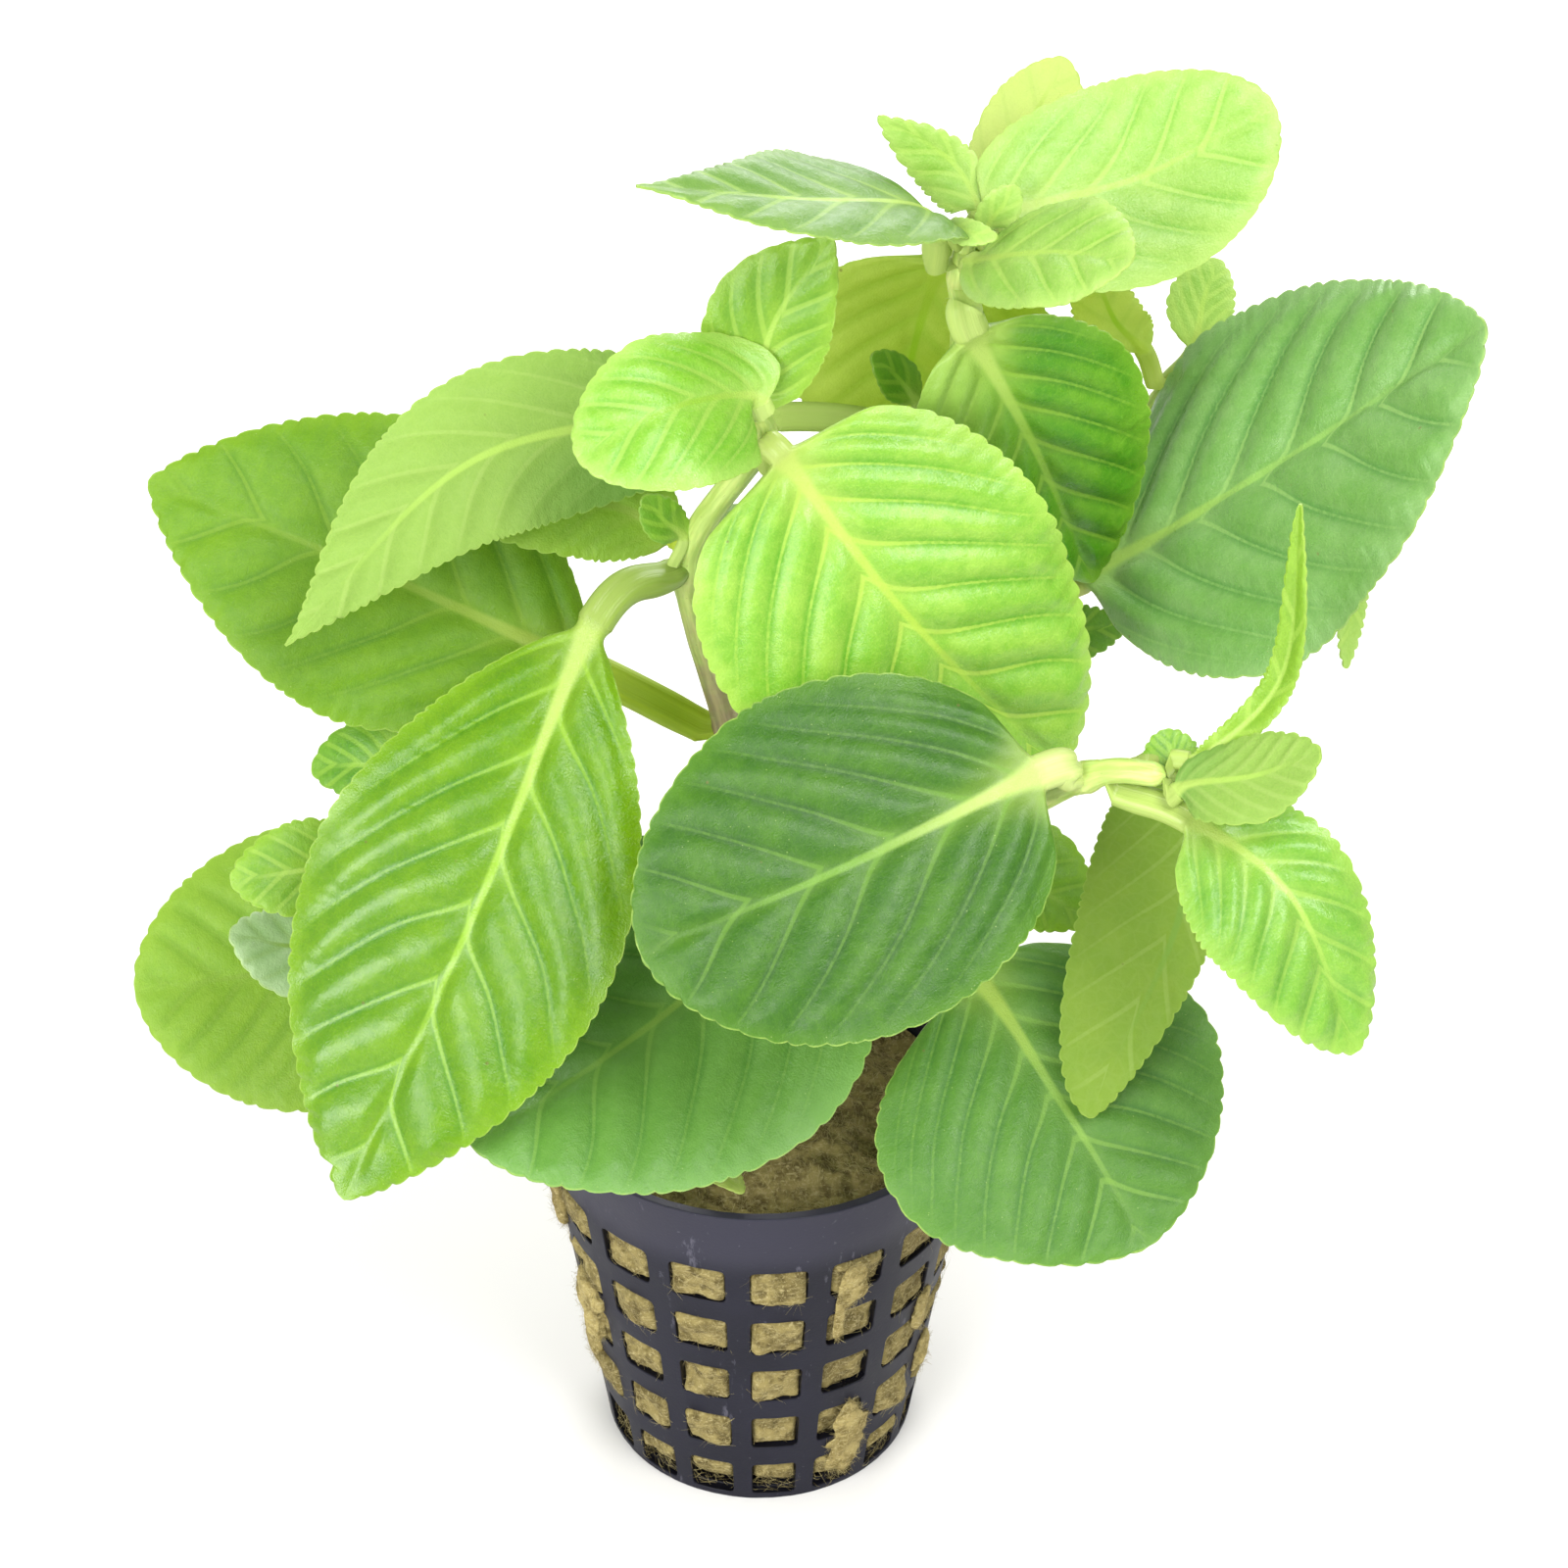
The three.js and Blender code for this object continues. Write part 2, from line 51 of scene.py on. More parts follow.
POT_HEIGHT = 50.0
POT_TOP_RADIUS = 25.2
POT_BOTTOM_RADIUS = 17.7
POT_WALL = 1.2
POT_FLOOR = 1.5
HOLE_COLUMNS = 16
HOLE_ROWS = 5
HOLE_PHASE = 0.09  # turn of the front column towards +X
HOLE_ANGLE = 0.271
HOLE_HEIGHT = 5.25
HOLE_PITCH = 8.6
HOLE_TOP = 40.6
HOLE_CORNER = 0.5
CORNER_CUT = 0.29  # how far a corner's point moves into its hole, as a share of HOLE_CORNER
HOLE_RADIUS = 21.0  # of the wall at its middle, where a corner's size is turned into an angle
SLOT_COUNT = 8
SLOT_INNER_RADIUS = 7.0
SLOT_OUTER_RADIUS = 14.5
SLOT_WIDTH = 3.4
FLOOR_RADII = (0.6, 3.8, SLOT_INNER_RADIUS, 9.5, 12.0, SLOT_OUTER_RADIUS, 15.8, POT_BOTTOM_RADIUS - 0.6)
GATE_RINGS = ((0.7, 0.1), (0.9, 0.2), (0.9, 1.6), (0.7, 1.7))  # radius and height of the floor's button
POT_BEVEL = 0.22

# Sizes of the mineral wool

TABLE_GAP = 0.1  # how far the wool stays above the table
WOOL_TOP = 46.0
WOOL_CROWN = 3.0  # how far the top's middle stands above its rim
WOOL_RADIUS = 22.0  # of the plug's top
WOOL_GAP = 0.4  # between the wool and the wall behind the ribs
WOOL_EDGE = 3.0  # radius of the plug's lower edge, and drop of its shoulder below WOOL_TOP
WOOL_SWELL = (0.9, 1.8)  # least and greatest swelling into a hole
WOOL_RAGGED = ((0.45, 2.6), (0.24, 1.1), (0.10, 0.5))  # how ragged the pads are, and in what cells
SIDE_FIBRES = 5200
TOP_FIBRES = 2600
PAD_FIBRES = 14  # for each square millimetre of a pad
# The loose pads: turn from the front towards +X in degrees, height, width, length and thickness.
WOOL_TUFTS = (
    (-62, 23.0, 5.4, 8.5, 1.1), (-70, 14.5, 3.0, 5.0, 0.8), (31, 8.5, 5.0, 9.0, 0.5),
    (26, 36.8, 3.8, 5.6, 0.35), (23, 31.5, 1.2, 7.5, 0.25), (58, 24.0, 3.0, 5.0, 0.6),
    (70, 36.0, 3.0, 5.0, 0.8), (66, 14.0, 3.5, 5.5, 0.9), (-75, 37.0, 3.5, 7.0, 0.9),
    (140, 18.0, 4.0, 7.0, 0.9), (-150, 30.0, 4.5, 6.0, 0.8),
)

# Shapes of the leaves and stems

BLADE_START = 1 / 3  # where the blade begins on a leaf's midrib curve
SESSILE_START = 0.17  # where it begins on the shoots' small leaves, which have hardly a stalk
DROOP = 0.15  # fall of the margin, per half width
TOOTH = (0.0, 0.5, 0.85, 1.0, 0.8)  # rows of one tooth of the margin, from notch to notch
TOOTH_LEVEL = 0.6  # of those, the height that lies on the outline
TOOTH_SIZES = (0.55, 1.3)  # least and greatest, as a share of a leaf's teeth
TOOTH_PITCH = 1.9  # from one notch to the next on a large leaf
# Half width from which a leaf has this mesh: columns on each side of its midrib, share of TOOTH_PITCH.
LEAF_MESHES = ((12.0, 20, 1), (5.0, 13, 0.8), (0.0, 8, 0.62))
STALK_ROWS = 22
STALK_GAP = 0.3  # between the stem's skin and the foot of a stalk
BLADE_HALF_THICKNESS = 0.15
RELIEF = 1.5  # how far the panels between the side veins rise, per unit of a leaf's puff
VEIN_SLANT = 0.5  # how far a side vein runs towards the tip for each step sideways, at the midrib
VEIN_ARCH = 0.55  # how much of the half width it gains on top of that by the margin
FIRST_VEIN = 0.16  # share of the blade's length before its base where the side veins' spacing begins
VEIN_CROWDING = 0.72  # under 1, the side veins stand closer at the blade's base than at its tip
VEIN_HOOK = 1.7  # how far a side vein bends back towards the base where it joins the midrib
VEIN_HOOK_WIDTH = 1.5  # how far from the midrib it does so
VALLEY_WIDTH = 0.45  # how softly the panels beside a side vein meet
GROOVE_WIDTH = 0.45  # of the groove along a side vein, on the leaf's upper side
GROOVE_DEPTH = 0.10
VEIN_HEIGHT = 0.16  # how far a side vein stands out below
RIB_ABOVE = 0.34  # how far the midrib stands out on each side, in its half widths
RIB_BELOW = 0.75

ROUND = (0.48, 0.5, 0.52)  # station of the widest place, bluntness at the base and at the tip
OVAL = (0.47, 0.65, 0.58)
POINTED = (0.44, 0.68, 0.8)
WEDGE = (0.5, 0.85, 0.78)

STEMS = {
    "stem_tall": dict(
        path=[(5, 5, 34), (7, 8, 60), (10, 11, 82), (13, 12, 104), (20, 6.5, 132), (20, 1, 154),
              (20.5, -1, 160)],
        radii=(2.1, 1.05), nodes=(0.55, 0.77, 0.95)),
    "stem_left": dict(
        path=[(-3, 0, 34), (-4, -1, 62), (-4, -2, 84), (-3.5, -2, 99), (-7.5, -2, 121), (0, -6.5, 139),
              (-2, -11, 147.5)],
        radii=(2.1, 1.2), nodes=(0.54, 0.73, 0.92)),
    "stem_front": dict(
        path=[(3, -3, 34), (6, -6, 62), (8.5, -8, 79), (20, -18, 96), (33, -28, 113), (40.5, -31.5, 116)],
        radii=(1.9, 1.3), nodes=(0.42, 0.91)),
    "stem_back": dict(
        path=[(9, 8, 34), (13, 14, 60), (20, 19, 85), (33, 22, 108), (43.5, 24, 125.5)],
        radii=(1.9, 1.1), nodes=(0.53, 0.8)),
    "stem_low": dict(
        path=[(-7, 4, 34), (-11, 5, 58), (-19, 4, 74), (-30, -1, 83), (-39.5, -6.5, 87)],
        radii=(1.7, 1), nodes=(0.62,)),
}
NODE_SWELL = 0.25  # how much a stem thickens where leaves grow
NODE_SPAN = 0.025  # how far the thickening reaches, as a share of the stem's length
HAIR_COUNT = 520  # on each stem
HAIRY_FROM = 0.5  # share of the stem's length from which it is hairy
HAIR_LENGTHS = (0.3, 0.8)  # least and greatest
HAIR_RADIUS = 0.012


def leaf(name, at, blade, half, up, outline, slot, look, petiole=1.5, **more):
    """A leaf on its stem. at: share of the stem's length. blade: its start, middle and tip. half: half
    widths on its two sides. up: the way its visible face looks. slot: not used. look: its kind of finish.
    petiole: radius of its stalk. In the rest, veins, slant and arch lay out the side veins.
    puff raises the panels between them. fold and wave bend the blade. teeth and bites shape its margin, a
    bite as side, place, depth and width. rib is the midrib's half width along the blade, as a share of the
    stalk's radius. start is where the blade begins. under shows the underside."""
    shape = dict(veins=6, puff=0.3, teeth=0.3, fold=0.15, wave=0.03, under=False, bites=(),
                 slant=VEIN_SLANT, arch=VEIN_ARCH, rib=0.34, start=BLADE_START)
    return dict(shape, name=name, at=at, blade=blade, half=half, up=up, outline=outline, slot=slot,
                look=look, petiole=petiole, **more)


def tip_leaf(*main, start=SESSILE_START, rib=0.24, **more):
    """A small leaf at the tip of a shoot, with hardly a stalk and a thin midrib."""
    return leaf(*main, start=start, rib=rib, **more)


LEAVES = {
    "stem_tall": [
        tip_leaf("tall_tip_left", 0.97, [(16, -4, 165), (3, -12, 171), (-12, -16, 175)], (8, 9.8),
                 (-0.1, -0.1, 1), (0.27, 0.5, 1.25), "young_leaf", "misty", veins=7, puff=0.25),
        tip_leaf("tall_tip_right", 0.975, [(24, 0, 162), (38, 4, 164), (51, 8, 170)], (10.2, 10.6),
                 (0.05, -0.75, 0.65), (0.46, 0.42, 0.5), "young_leaf", "lime", veins=6, puff=0.22,
                 wave=0.02, start=0.27, teeth=0.17),
        tip_leaf("tall_tip_front", 0.985, [(21.6, -6, 160.4), (28.5, -14, 166.3), (35.5, -20, 169.3)],
                 (6.8, 6.8), (0.1, -0.55, 0.8), OVAL, "young_leaf", "lime", petiole=1.2, veins=5,
                 puff=0.26, start=0.24, teeth=0.17),
        tip_leaf("tall_tip_rear", 0.985, [(23, 9, 157), (27, 17, 161.5), (31, 22, 167)], (4.8, 5.7),
                 (0, -0.8, 0.6), OVAL, "young_leaf", "sheer", petiole=1.2, veins=5, puff=0.15, under=True,
                 teeth=0.17),
        tip_leaf("tall_tip_rear_left", 1, [(21.5, 1, 162.5), (18.6, 4, 166), (11.5, 4, 170.8)],
                 (4.2, 2.2), (-0.3, -0.8, 0.5), POINTED, "young_leaf", "lime", petiole=0.8, veins=5,
                 puff=0.2),
        tip_leaf("tall_bud_upper", 1, [(22.3, -3, 162.5), (23.5, -3, 164.5), (25.2, -2, 166.5)], (2, 2.2),
                 (0.3, -0.8, 0.5), OVAL, "young_leaf", "lime", petiole=0.6, veins=3, puff=0.08,
                 teeth=0.15),
        tip_leaf("tall_bud_lower", 1, [(18.5, -5, 163.5), (20, -8, 165), (23, -10, 165.5)], (1.3, 1.5),
                 (-0.3, -0.6, 0.7), OVAL, "young_leaf", "lime", petiole=0.6, veins=3, puff=0.08,
                 teeth=0.15),
        leaf("tall_leaf_front", 0.945, [(21, -2, 149.5), (28, 0, 134), (35, 5, 113.5)], (13.2, 12.5),
             (0.1, -0.9, 0.42), POINTED, "leaf", "fresh", petiole=1.9, veins=7, puff=0.5, slant=0.6),
        leaf("tall_leaf_rear", 0.95, [(18.5, 9, 151), (15.8, 13, 137.6), (14.3, 14, 123)], (16, 14),
             (0.1, -0.8, 0.5), OVAL, "leaf", "sallow_backlit", veins=6, puff=0.25),
        leaf("tall_bud_side", 0.77, [(16, 6, 135.5), (14, 6, 138.5), (11.3, 5, 142)], (2.4, 2.4),
             (0, -0.6, 0.8), OVAL, "leaf", "fresh", petiole=0.6, veins=3, puff=0.08, teeth=0.15),
        leaf("tall_leaf_left", 0.765, [(2, 7, 133), (-28, -2, 134.5), (-49, -10, 116)], (9, 8.6),
             (0.25, -0.8, 0.5), (0.44, 0.85, 1.08), "young_leaf", "pale", veins=9, puff=0.3, slant=1.4,
             under=True, arch=0.3),
        leaf("tall_leaf_right", 0.55, [(34, 8, 112), (54, 2, 131), (72.5, -4, 151.5)], (20, 22.2),
             (-0.73, -0.33, 0.59), (0.43, 0.75, 0.68), "old_leaf", "blue", petiole=1.9, veins=7,
             puff=0.65, teeth=0.36, slant=0.6, rib=0.28),
        leaf("tall_leaf_small", 0.555, [(25.5, 17, 98), (33, 18, 97.5), (40, 19.5, 97.5)], (3, 3.6),
             (0, -0.7, 0.7), OVAL, "leaf", "fresh", petiole=0.8, veins=4, puff=0.1),
        leaf("tall_leaf_hidden", 0.545, [(13, 22, 97), (13, 36, 88), (12, 50, 74)], (11, 11), (0, 0.3, 1),
             OVAL, "old_leaf", "deep", veins=8, puff=0.4),
    ],
    "stem_left": [
        tip_leaf("left_tip_front", 0.99, [(-1.5, -13, 149), (-9, -20, 152), (-18, -24, 149)], (8.5, 7.7),
                 (-0.1, -0.7, 0.7), (0.45, 0.4, 0.52), "young_leaf", "tender", petiole=1.2, veins=6,
                 puff=0.34, arch=0.8, teeth=0.17),
        tip_leaf("left_tip_rear", 1, [(-0.5, -9.5, 148.2), (1.6, -7.8, 155), (7, -6, 163)], (6.8, 6),
                 (0.1, -0.75, 0.65), (0.42, 0.5, 0.8), "young_leaf", "sprig", petiole=1.2, veins=5,
                 puff=0.35, teeth=0.17),
        leaf("left_leaf_front", 0.915, [(2, -11, 140.5), (15, -16, 124), (31, -15, 104)], (18.2, 19.4),
             (0.05, -0.85, 0.5), (0.43, 0.43, 0.55), "young_leaf", "bright", veins=8, puff=0.65,
             teeth=0.4, slant=0.4, rib=0.36),
        leaf("left_leaf_side", 0.75, [(-9, 3, 120.9), (-17, 5, 123.4), (-30, 4, 122.4)], (6, 6),
             (0, -0.8, 0.6), OVAL, "leaf", "plain", veins=5, puff=0.2),
        leaf("left_leaf_long", 0.74, [(-17, -10, 119), (-29, -28, 96), (-43, -44, 70)], (16, 18.6),
             (-0.15, -0.75, 0.65), (0.52, 1.04, 0.78), "leaf", "glossy", petiole=1.9, veins=8, puff=0.65,
             bites=((1, 0.95, 0.9, 0.8),), slant=0.5, rib=0.3, arch=0.7),
        leaf("left_bud", 0.75, [(-8, -3.5, 125), (-10, -4.5, 128), (-12, -4.5, 131)], (2.3, 2.3),
             (0, -0.8, 0.6), OVAL, "leaf", "fresh", petiole=0.6, veins=3, puff=0.1, teeth=0.15),
        leaf("left_leaf_outer", 0.555, [(-18, 2, 104), (-40, 8, 112), (-65, 14, 120)], (16.3, 17),
             (0, -0.72, 0.7), WEDGE, "leaf", "dull", petiole=1.9, veins=7, puff=0.35),
        leaf("left_leaf_hidden", 0.745, [(-1, 7, 117), (6, 23, 109), (12, 36, 94)], (10, 10), (0, 0.3, 1),
             OVAL, "leaf", "dull", veins=7, puff=0.35),
    ],
    "stem_front": [
        leaf("front_leaf_broad", 0.91, [(28, -30, 115), (8, -38, 109), (-12, -44, 103)], (17.4, 18.8),
             (-0.1, -0.75, 0.66), ROUND, "old_leaf", "dark", petiole=1.9, veins=6, puff=0.5, slant=0.7,
             rib=0.3),
        leaf("front_leaf_drooping", 0.935, [(43, -33, 111.5), (53, -40, 107), (60, -46, 92)], (7.2, 10.3),
             (0.2, -0.75, 0.65), (0.45, 0.5, 0.6), "young_leaf", "crisp", veins=7, puff=0.6, teeth=0.36,
             rib=0.26),
        tip_leaf("front_tip_upper", 1, [(44.8, -30, 117.5), (51.9, -29, 127), (52.4, -28, 146.5)],
                 (1.6, 2), (-0.6, -0.7, 0.3), OVAL, "young_leaf", "sprig", petiole=1, fold=0.5, veins=6,
                 puff=0.15, teeth=0.2),
        leaf("front_tip_right", 1, [(43, -33, 115.9), (49, -36, 119.3), (55, -38, 123.8)], (4.5, 5),
             (-0.1, -0.5, 0.85), OVAL, "young_leaf", "pale", petiole=1, veins=7, puff=0.35, under=True,
             start=SESSILE_START, rib=0.3),
        leaf("front_bud", 0.99, [(42, -29, 114.2), (41.3, -27, 115.2), (40.7, -25, 116.7)], (2.8, 2.8),
             (0, -0.6, 0.8), ROUND, "leaf", "fresh", petiole=0.8, veins=4, puff=0.15),
        leaf("front_leaf_hanging", 0.96, [(43, -24, 111), (43.5, -24, 91.5), (34.5, -31, 70)], (4, 10.5),
             (-0.3, -0.9, 0.2), ROUND, "leaf", "olive", veins=7, puff=0.2, under=True, slant=0.9),
        leaf("front_leaf_inner", 0.46, [(16, -8, 83), (27, -9, 84), (35.5, -11, 80.5)], (7.5, 5),
             (0, -0.6, 0.8), OVAL, "old_leaf", "dull", petiole=1, veins=5, puff=0.2),
        leaf("front_leaf_low_right", 0.45, [(22, -15, 77), (32, -28, 69), (41, -39, 59)], (18.4, 20.6),
             (0.05, -0.6, 0.8), OVAL, "old_leaf", "deep", petiole=1.9, veins=7, puff=0.35),
        leaf("front_leaf_low_left", 0.455, [(6, -12, 85.5), (-12, -25, 77), (-30, -38, 72)], (20, 18.5),
             (-0.1, -0.55, 0.83), (0.38, 0.45, 0.6), "old_leaf", "shaded", veins=7, puff=0.4),
    ],
    "stem_back": [
        leaf("back_tip_right", 1, [(46, 25, 129.5), (47, 27, 134.5), (48.5, 29, 138.5)], (3.8, 3.4),
             (0, -0.8, 0.6), OVAL, "leaf", "lime", petiole=0.8, veins=5, puff=0.15),
        leaf("back_tip_left", 1, [(40.5, 22, 131.5), (37, 19, 137.5), (34, 17, 146.5)], (4.2, 3.4),
             (-0.3, -0.8, 0.5), OVAL, "leaf", "sheer", petiole=1, veins=5, puff=0.15, under=True),
        leaf("back_leaf_curled", 0.98, [(59, 24, 115), (64, 20, 105), (64, 16, 94)], (2.1, 2.1),
             (0.3, -0.8, 0.5), OVAL, "leaf", "lime", petiole=1.2, veins=5, puff=0.15),
        leaf("back_leaf_hidden", 0.8, [(34, 30, 109), (36, 44, 107), (38, 58, 97)], (11, 11), (0, 0.3, 1),
             OVAL, "old_leaf", "dull", veins=7, puff=0.35),
        leaf("back_leaf_low", 0.53, [(20, 28, 78), (20, 42, 68), (18, 55, 54)], (12, 12), (0, 0.4, 1),
             OVAL, "old_leaf", "deep", veins=8, puff=0.35),
    ],
    "stem_low": [
        leaf("low_leaf_outer", 0.61, [(-33.5, 4, 66.3), (-51.5, 4, 61.3), (-69.5, 2, 59.3)], (16.2, 15.6),
             (0, -0.72, 0.7), ROUND, "young_leaf", "plain", veins=8, puff=0.25),
        leaf("low_tip_upper", 1, [(-41, -8, 86.5), (-48, -12, 88), (-56, -14, 88)], (5.2, 5.4),
             (0, -0.7, 0.7), OVAL, "leaf", "sprig", petiole=0.8, veins=5, puff=0.2),
        leaf("low_tip_lower", 0.98, [(-40.5, -8.5, 78.8), (-49, -9, 75), (-57, -10, 77.6)], (6, 5),
             (0, -0.5, 0.86), OVAL, "old_leaf", "sheen_grey", petiole=0.8, veins=5, puff=0.2),
        leaf("low_tip_rear", 0.98, [(-38, -4, 93.5), (-42, -3, 95), (-48, -1, 93)], (3.8, 5),
             (0, -0.7, 0.7), OVAL, "leaf", "fresh", petiole=0.8, veins=5, puff=0.15),
        leaf("low_leaf_hidden", 0.61, [(-24, 13, 75), (-33, 28, 71), (-41, 42, 60)], (11, 11),
             (0, 0.3, 1), OVAL, "old_leaf", "deep", veins=7, puff=0.35),
    ],
}
SPROUT_FOOT = (-5, -12, 42)
SPROUT = leaf("sprout", 0, [(-5, -15, 50), (-4, -19.5, 51.5), (-2, -23, 52)], (2, 2), (0, 0.5, 0.87),
              OVAL, "young_leaf", "sheer", petiole=0.5, veins=3, puff=0.08, teeth=0.15)

# Small helpers


def full_turn(count):
    """Angles of so many even steps round a full turn."""
    return 2 * np.pi * np.arange(count) / count


def unit(vectors):
    return vectors / np.linalg.norm(vectors, axis=-1, keepdims=True)


def smooth(values, low, high):
    share = np.clip((values - low) / (high - low), 0, 1)
    return share * share * (3 - 2 * share)


def lattice_noise(points, cell, seed):
    """Smooth noise from -1 to 1 with features of about one cell, at points of any shape (..., 3)."""
    size = 32  # cells after which the lattice repeats
    values = np.random.default_rng(seed).uniform(-1, 1, (size, size, size))
    scaled = np.asarray(points, float) / cell
    low = np.floor(scaled).astype(int)
    share = scaled - low
    share = share * share * (3 - 2 * share)
    total = 0.0
    for corner in np.ndindex(2, 2, 2):
        index = (low + corner) % size
        weight = np.prod(np.where(np.array(corner) == 1, share, 1 - share), axis=-1)
        total = total + weight * values[index[..., 0], index[..., 1], index[..., 2]]
    return total


class Curve:
    """The uniform Catmull-Rom curve through points, as the part's source has it, with its ends mirrored."""

    def __init__(self, points):
        self.points = np.asarray(points, float)
        self.steps = len(points) - 1
        first = 2 * self.points[0] - self.points[1]
        last = 2 * self.points[-1] - self.points[-2]
        self.padded = np.vstack([first, self.points, last])
        self.samples = np.linspace(0, 1, 801)
        places = self.at(self.samples)[0]
        lengths = np.linalg.norm(np.diff(places, axis=0), axis=1)
        self.reach = np.concatenate([[0], np.cumsum(lengths)])

    def at(self, t):
        """Places and unit directions at parameters t."""
        t = np.asarray(t, float)
        first = np.clip(np.floor(t * self.steps).astype(int), 0, self.steps - 1)
        w = (t * self.steps - first)[..., None]
        p0, p1, p2, p3 = (self.padded[first + k] for k in range(4))
        start, end = (p2 - p0) / 2, (p3 - p1) / 2
        square = -3 * p1 + 3 * p2 - 2 * start - end
        cube = 2 * p1 - 2 * p2 + start + end
        way = start + 2 * square * w + 3 * cube * w ** 2
        return p1 + start * w + square * w ** 2 + cube * w ** 3, unit(way)

    def at_share(self, share):
        """The parameter at a share of the curve's length."""
        return np.interp(np.asarray(share) * self.reach[-1], self.reach, self.samples)


def mesh_piece(name, vertices, faces, material, replaces, maps, sharp=50):
    """A mesh object from points in millimetres. maps: UV maps as name to one pair for each vertex. sharp:
    the angle in degrees from which an edge is sharp."""
    mesh = bpy.data.meshes.new(name)
    mesh.from_pydata(np.asarray(vertices, float) * MM, [], faces)
    mesh.validate()
    corners = np.zeros(len(mesh.loops), int)
    mesh.loops.foreach_get("vertex_index", corners)
    for map_name, pairs in maps.items():
        layer = mesh.uv_layers.new(name=map_name)
        layer.uv.foreach_set("vector", np.asarray(pairs, np.float32)[corners].ravel())
    mesh.shade_smooth()
    mesh.set_sharp_from_angle(angle=math.radians(sharp))
    mesh.materials.append(material)
    piece = bpy.data.objects.new(name, mesh)
    bpy.context.scene.collection.objects.link(piece)
    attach(piece, "root")
    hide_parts(*replaces)
    return piece


def tube_faces(rows, ring):
    """Four-sided faces between rows of a closed ring, with a cap at each end."""
    i, j = np.meshgrid(np.arange(rows - 1), np.arange(ring), indexing="ij")
    k = (j + 1) % ring
    quads = np.stack([i * ring + j, i * ring + k, (i + 1) * ring + k, (i + 1) * ring + j], -1).reshape(-1, 4)
    return quads.tolist() + [list(range(ring))[::-1], list(range((rows - 1) * ring, rows * ring))]


def outward(vertices, faces):
    """The faces, all turned over if the closed shape is inside out."""
    v = np.asarray(vertices)
    quads = np.array([face for face in faces if len(face) == 4])
    volume = 0.0
    for a, b, c in ((0, 1, 2), (0, 2, 3)):
        volume += np.einsum("ij,ij->i", v[quads[:, a]], np.cross(v[quads[:, b]], v[quads[:, c]])).sum()
    return faces if volume > 0 else [face[::-1] for face in faces]


def ring_piece(name, rings, material, replaces, maps=None, sharp=50):
    """A closed piece from its rings of points, in order. maps: UV maps with one pair for each point."""
    rings = np.asarray(rings)
    vertices = rings.reshape(-1, 3)
    faces = outward(vertices, tube_faces(*rings.shape[:2]))
    maps = {map_name: pairs.reshape(-1, 2) for map_name, pairs in (maps or {}).items()}
    mesh_piece(name, vertices, faces, material, replaces, maps, sharp)


# Stems


def stem_radius(stem, share):
    share = np.asarray(share, float)
    plain = stem["radii"][0] + (stem["radii"][1] - stem["radii"][0]) * share
    nearest = np.min([np.abs(share - node) for node in stem["nodes"]], axis=0)
    return plain * (1 + NODE_SWELL * np.clip(1 - nearest / NODE_SPAN, 0, 1))


# Leaves


def outline_share(outline, s):
    widest, base, tip = outline
    rising = np.sin(np.pi / 2 * np.clip(s / widest, 0, 1)) ** base
    falling = np.cos(np.pi / 2 * np.clip((s - widest) / (1 - widest), 0, 1)) ** tip
    return np.where(s < widest, rising, falling)


def leaf_foot(item, stem):
    """Where the stalk leaves the stem's skin, as in the part's source, and the stem's middle there."""
    curve = Curve(stem["path"])
    centre, axis = curve.at(curve.at_share(item["at"]))
    away = np.array(item["blade"][0], float) - centre
    outward_way = unit(away - axis * (away @ axis))
    lean = math.sin(math.acos(np.clip(unit(away) @ outward_way, -1, 1)))
    distance = stem_radius(stem, item["at"]) + STALK_GAP + item["petiole"] * lean
    return centre + outward_way * distance, centre


def blade_outline(item, s, side):
    """Half width of a blade on one side at stations s, with the short hollow curve at its base."""
    return outline_share(item["outline"], s) * item["half"][side] * smooth(s, -0.03, 0.075)


def blade_edge(item, length, side, teeth, rng):
    """Stations and half widths of one margin, with its rounded teeth and any bites, row by row."""
    fine = np.linspace(0, 1, 1201)
    half = blade_outline(item, fine, side)
    reach = np.concatenate([[0], np.cumsum(np.hypot(np.diff(fine * length), np.diff(half)))])
    turn = np.arange(teeth * len(TOOTH) + 1) / (teeth * len(TOOTH))
    first, second = rng.uniform(0, 6, 2)
    uneven = 0.012 * np.sin(2 * np.pi * 3 * turn + first) + 0.006 * np.sin(2 * np.pi * 7 * turn + second)
    along = (turn + uneven * np.sin(np.pi * turn)) * reach[-1]
    stations = np.interp(along, reach, fine)
    half = np.interp(along, reach, half)
    steps = np.arange(len(turn))
    tall = rng.uniform(*TOOTH_SIZES, teeth + 1)[steps // len(TOOTH)] * item["teeth"]
    tooth = (np.array(TOOTH)[steps % len(TOOTH)] - TOOTH_LEVEL) * tall * smooth(stations, 0.08, 0.22)
    tooth[-1] = 0
    for bite_side, place, depth, width in item["bites"]:
        if bite_side == side:
            tooth = tooth - depth * np.exp(-(((along / reach[-1] - place) * reach[-1] / width) ** 2))
    rise, run = np.gradient(half), np.gradient(stations * length)
    slope = np.hypot(rise, run)
    return stations - tooth * rise / slope / length, half + tooth * run / slope, stations


